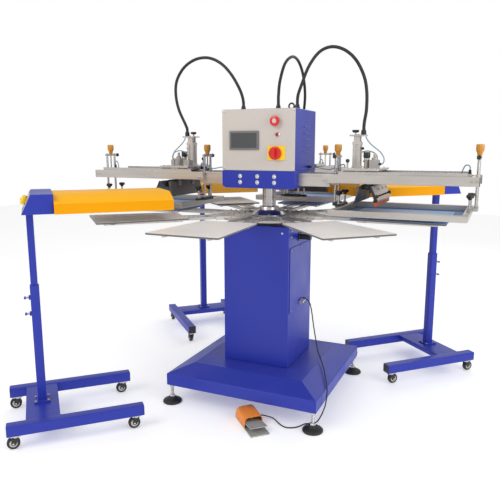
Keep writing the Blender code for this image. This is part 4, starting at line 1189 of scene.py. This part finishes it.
def build_heater(name, at, height):
    body = "dryer_" + name
    put = placer(name, body, at)
    dress("dryer_mast_" + name, BLUE, 0.0015)
    inner, outer, half, roof = -0.605, -0.104, 0.190, 0.115
    side, high, wall = 0.045, 0.079, 0.0025
    shell = mirrored(((half, height), (half, height + side), (roof, height + high)))
    lining = mirrored((
        (half - 0.014, height), (half - 0.014, height + wall), (half - wall, height + wall),
        (half - wall, height + side - wall / 2), (roof - wall / 2, height + high - wall),
    ))
    cover = [
        prism((*shell, *reversed(lining)), inner + 0.0005, outer + 0.0045, axes="yz"),
        prism(shell, inner, inner + wall, axes="yz"),
    ]
    yellow = put("dryer_cover", cover, YELLOW, bevel=0.0018, segments=3)
    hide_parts("dryer_heater_" + name)
    seam = [
        box((outer - 0.0080, a - 0.004, height + 0.0005), (outer + 0.0042, a + 0.004, height + 0.0025))
        for a in (-0.150, 0, 0.150)
    ]
    put("cover_tabs", seam, STEEL, bevel=0.0004)
    quartz, sockets = [], []
    for i in range(6):
        y, z = -0.1375 + 0.055 * i, height + 0.022
        quartz.append(rod((inner + 0.030, y, z), (outer - 0.020, y, z), 0.0060, sides=20))
        for x in (inner + 0.022, outer - 0.022):
            sockets.append(rod((x - 0.010, y, z), (x + 0.010, y, z), 0.0085, sides=20))
    put("heating_tubes", quartz, QUARTZ, bevel=0)
    put("tube_sockets", sockets, CAST, bevel=0.0008)
    foot, back = half - 0.006, mirrored(((half - 0.008, 0.012), (half - 0.008, 0.0325), (roof, 0.0445)))
    trough = (*mirrored(((foot, 0.012), (foot, 0.034), (roof, 0.046))), *reversed(back))
    sheet = prism([(a, height + b) for a, b in trough], inner + 0.006, outer - 0.004, axes="yz")
    put("heat_reflector", [sheet], REFLECTOR, bevel=0.0004)

    start, control_half, top = outer + 0.0046, 0.1715, height + 0.0835
    outline = (
        (start, height + 0.0004),
        (0.0295, height + 0.0004),
        (-0.0105, top),
        (start, top),
    )
    housing = prism(outline, -control_half, control_half)
    put("control_housing", [housing], BLUE, bevel=0.0020, segments=3)
    # The housing's sloping end: the way up it, the way out of it and its lower edge
    slope = Vector((-0.0105 - 0.0295, 0, top - height)).normalized()
    out = Vector((slope.z, 0, -slope.x))
    foot = Vector((0.0295, 0, height + 0.0004))

    def on_slope(y, along, off=0.0):
        return foot + slope * along + out * off + Vector((0, y, 0))

    def slab(y, along, wide, long, thick):
        """A plate lying on the housing's sloping end."""
        corners = []
        for off in (-0.0004, thick):
            corners.append(
                [
                    on_slope(y + a * wide / 2, along + b * long / 2, off)
                    for a, b in ((-1, -1), (1, -1), (1, 1), (-1, 1))
                ]
            )
        return rings(corners)

    put("control_plate", [slab(0, 0.0465, 0.322, 0.078, 0.0016)], GREY, bevel=0.0004)
    mushroom = (
        (0.0120, 0.0016), (0.0130, 0.008), (0.0185, 0.010), (0.0205, 0.013),
        (0.0205, 0.019), (0.0180, 0.023), (0.0110, 0.025),
    )
    place = on_slope(0.110, 0.058)
    knob = turned(mushroom, place, out, 48, lobes=24, depth=0.012)
    put("dryer_knob", [knob], YELLOW_PLASTIC, bevel=0)
    cap = turned(((0.0065, 0.0245), (0.0060, 0.0262), (0.0030, 0.0268)), place, out, 24)
    put("dryer_knob_cap", [cap], RED, bevel=0)
    dial = ((0.0115, 0.001), (0.0125, 0.003), (0.0110, 0.012), (0.0095, 0.013))
    switches = [slab(y, 0.050, 0.020, 0.030, 0.0050) for y in (0.050, 0.015)]
    for y in (-0.040, -0.095):
        switches.append(turned(dial, on_slope(y, 0.050), out, 40, lobes=20, depth=0.02))
    switches.append(slab(0.0325, 0.016, 0.080, 0.014, 0.0030))
    put("dryer_switches", switches, BLACK, bevel=0.0005)
    rockers = [slab(y, 0.050, 0.0145, 0.0240, 0.0066) for y in (0.050, 0.015)]
    put("dryer_rockers", rockers, RED, bevel=0.0012)
    pan_head = ((0.0036, 0.0014), (0.0034, 0.0028), (0.0018, 0.0032))
    screws = []
    for y in (-0.152, 0.152):
        screws += [turned(pan_head, on_slope(y, along), out, 14) for along in (0.014, 0.079)]
    put("control_screws", screws, STEEL, bevel=0)
    bracket = [box((-0.0300, -0.0450, height - 0.0051), (0.0120, 0.0450, height - 0.0003))]
    bracket += [nut((-0.022, y, height - 0.0095), Z, 0.011, 0.0045) for y in (-0.034, 0.034)]
    put("heater_bracket", bracket, STEEL, bevel=0.0004)


def build_dryers():
    for name, (at, height) in DRYERS.items():
        build_stand(name, at)
        build_heater(name, at, height)


# Foot switch


PEDAL_HALF = 0.046
HOOD_HALF = 0.0455
HOOD_WALL = 0.0024
TREADLE_RISE = 0.018 / 0.180
# Each of the hood's sections: its place, its height, and how far it leans in at the top
HOOD_SECTIONS = (
    (-0.1045, 0.040, 0.010), (-0.098, 0.056, 0.012), (-0.080, 0.0655, 0.012),
    (-0.010, 0.060, 0.009), (0.020, 0.051, 0.005),
)


def hood_loops(inset):
    """Sections of the foot switch's hood from its back to its mouth, or of its inside."""
    foot = HOOD_HALF - inset
    loops = []
    for along, top, lean in HOOD_SECTIONS:
        brow, roof, high = foot - lean * 0.45, foot - lean - 0.006, top - inset
        side = (
            (foot, 0.004 - inset * 3), (foot, 0.018), (brow, high - 0.010),
            (roof + 0.003, high - 0.002), (roof - 0.004, high),
        )
        loops.append([(along, y, z) for y, z in mirrored(side)])
    if inset:
        loops[0] = [(x + inset, y, z) for x, y, z in loops[0]]
        loops[-1] = [(x + 0.01, y, z) for x, y, z in loops[-1]]
    return loops


def build_foot_switch():
    dress("pedal_plate", TREADLE, 0.0005)
    at = PEDAL_FRAME
    hood = cut("hood", rings(hood_loops(0)), rings(hood_loops(HOOD_WALL)))
    cover = piece("pedal_hood", [hood], ORANGE, at=at, bevel=0.0006)
    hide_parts("pedal_base")
    sole = [prism(rounded((-0.1045, -0.0455), (0.1045, 0.0455), 0.004), 0.0008, 0.0052, axes="xy")]
    piece("pedal_sole", sole, TREADLE, at=at, bevel=0.0006)
    grooves = []
    for i in range(12):
        x = 0.030 + 0.0062 * i
        grooves.append(box((x, -0.040, 0.0050), (x + 0.0025, 0.040, 0.0060)))
    piece("sole_ribs", grooves, TREADLE, at=at, bevel=0.0003)
    half = PEDAL_HALF
    ribs = []
    for i in range(14):
        along = 0.060 + 0.0082 * i
        x, z = along - 0.093, 0.016 + along * TREADLE_RISE
        ribs.append(box((x - 0.0016, -half + 0.009, z - 0.0010), (x + 0.0016, half - 0.009, z + 0.0012)))
    piece("treadle_ribs", ribs, TREADLE, "pedal", at=at, bevel=0.0004)
    pin = [rod((-0.090, -half - 0.0006, 0.0150), (-0.090, half + 0.0006, 0.0150), 0.0030)]
    for side in (-1, 1):
        y = side * (half + 0.0001)
        pin += [bolt((x, y, 0.012), (0, side, 0), 0.0035) for x in (-0.060, -0.020)]
    piece("pedal_pin", pin, STEEL, at=at, bevel=0)
    sleeve = ((0.0065, 0), (0.0065, 0.003), (0.0048, 0.0085))
    gland = [
        nut((CORD_ALONG, half - 0.0005, CORD_HIGH), (0, 1, 0), 0.0135, 0.004),
        turned(sleeve, (CORD_ALONG, half + 0.0030, CORD_HIGH), (0, 1, 0), 20),
    ]
    piece("pedal_gland", gland, BLACK, at=at, bevel=0.0003)
    mat = [box((-0.104, -half + 0.001, 0.0), (0.104, half - 0.001, 0.0008))]
    piece("pedal_mat", mat, RUBBER, at=at, bevel=0.0002)


build_camera()
build_studio()
build_hoses()
build_base()
build_column()
build_shaft()
build_carousel()
build_box()
build_heads()
build_dryers()
build_foot_switch()
build_cord()
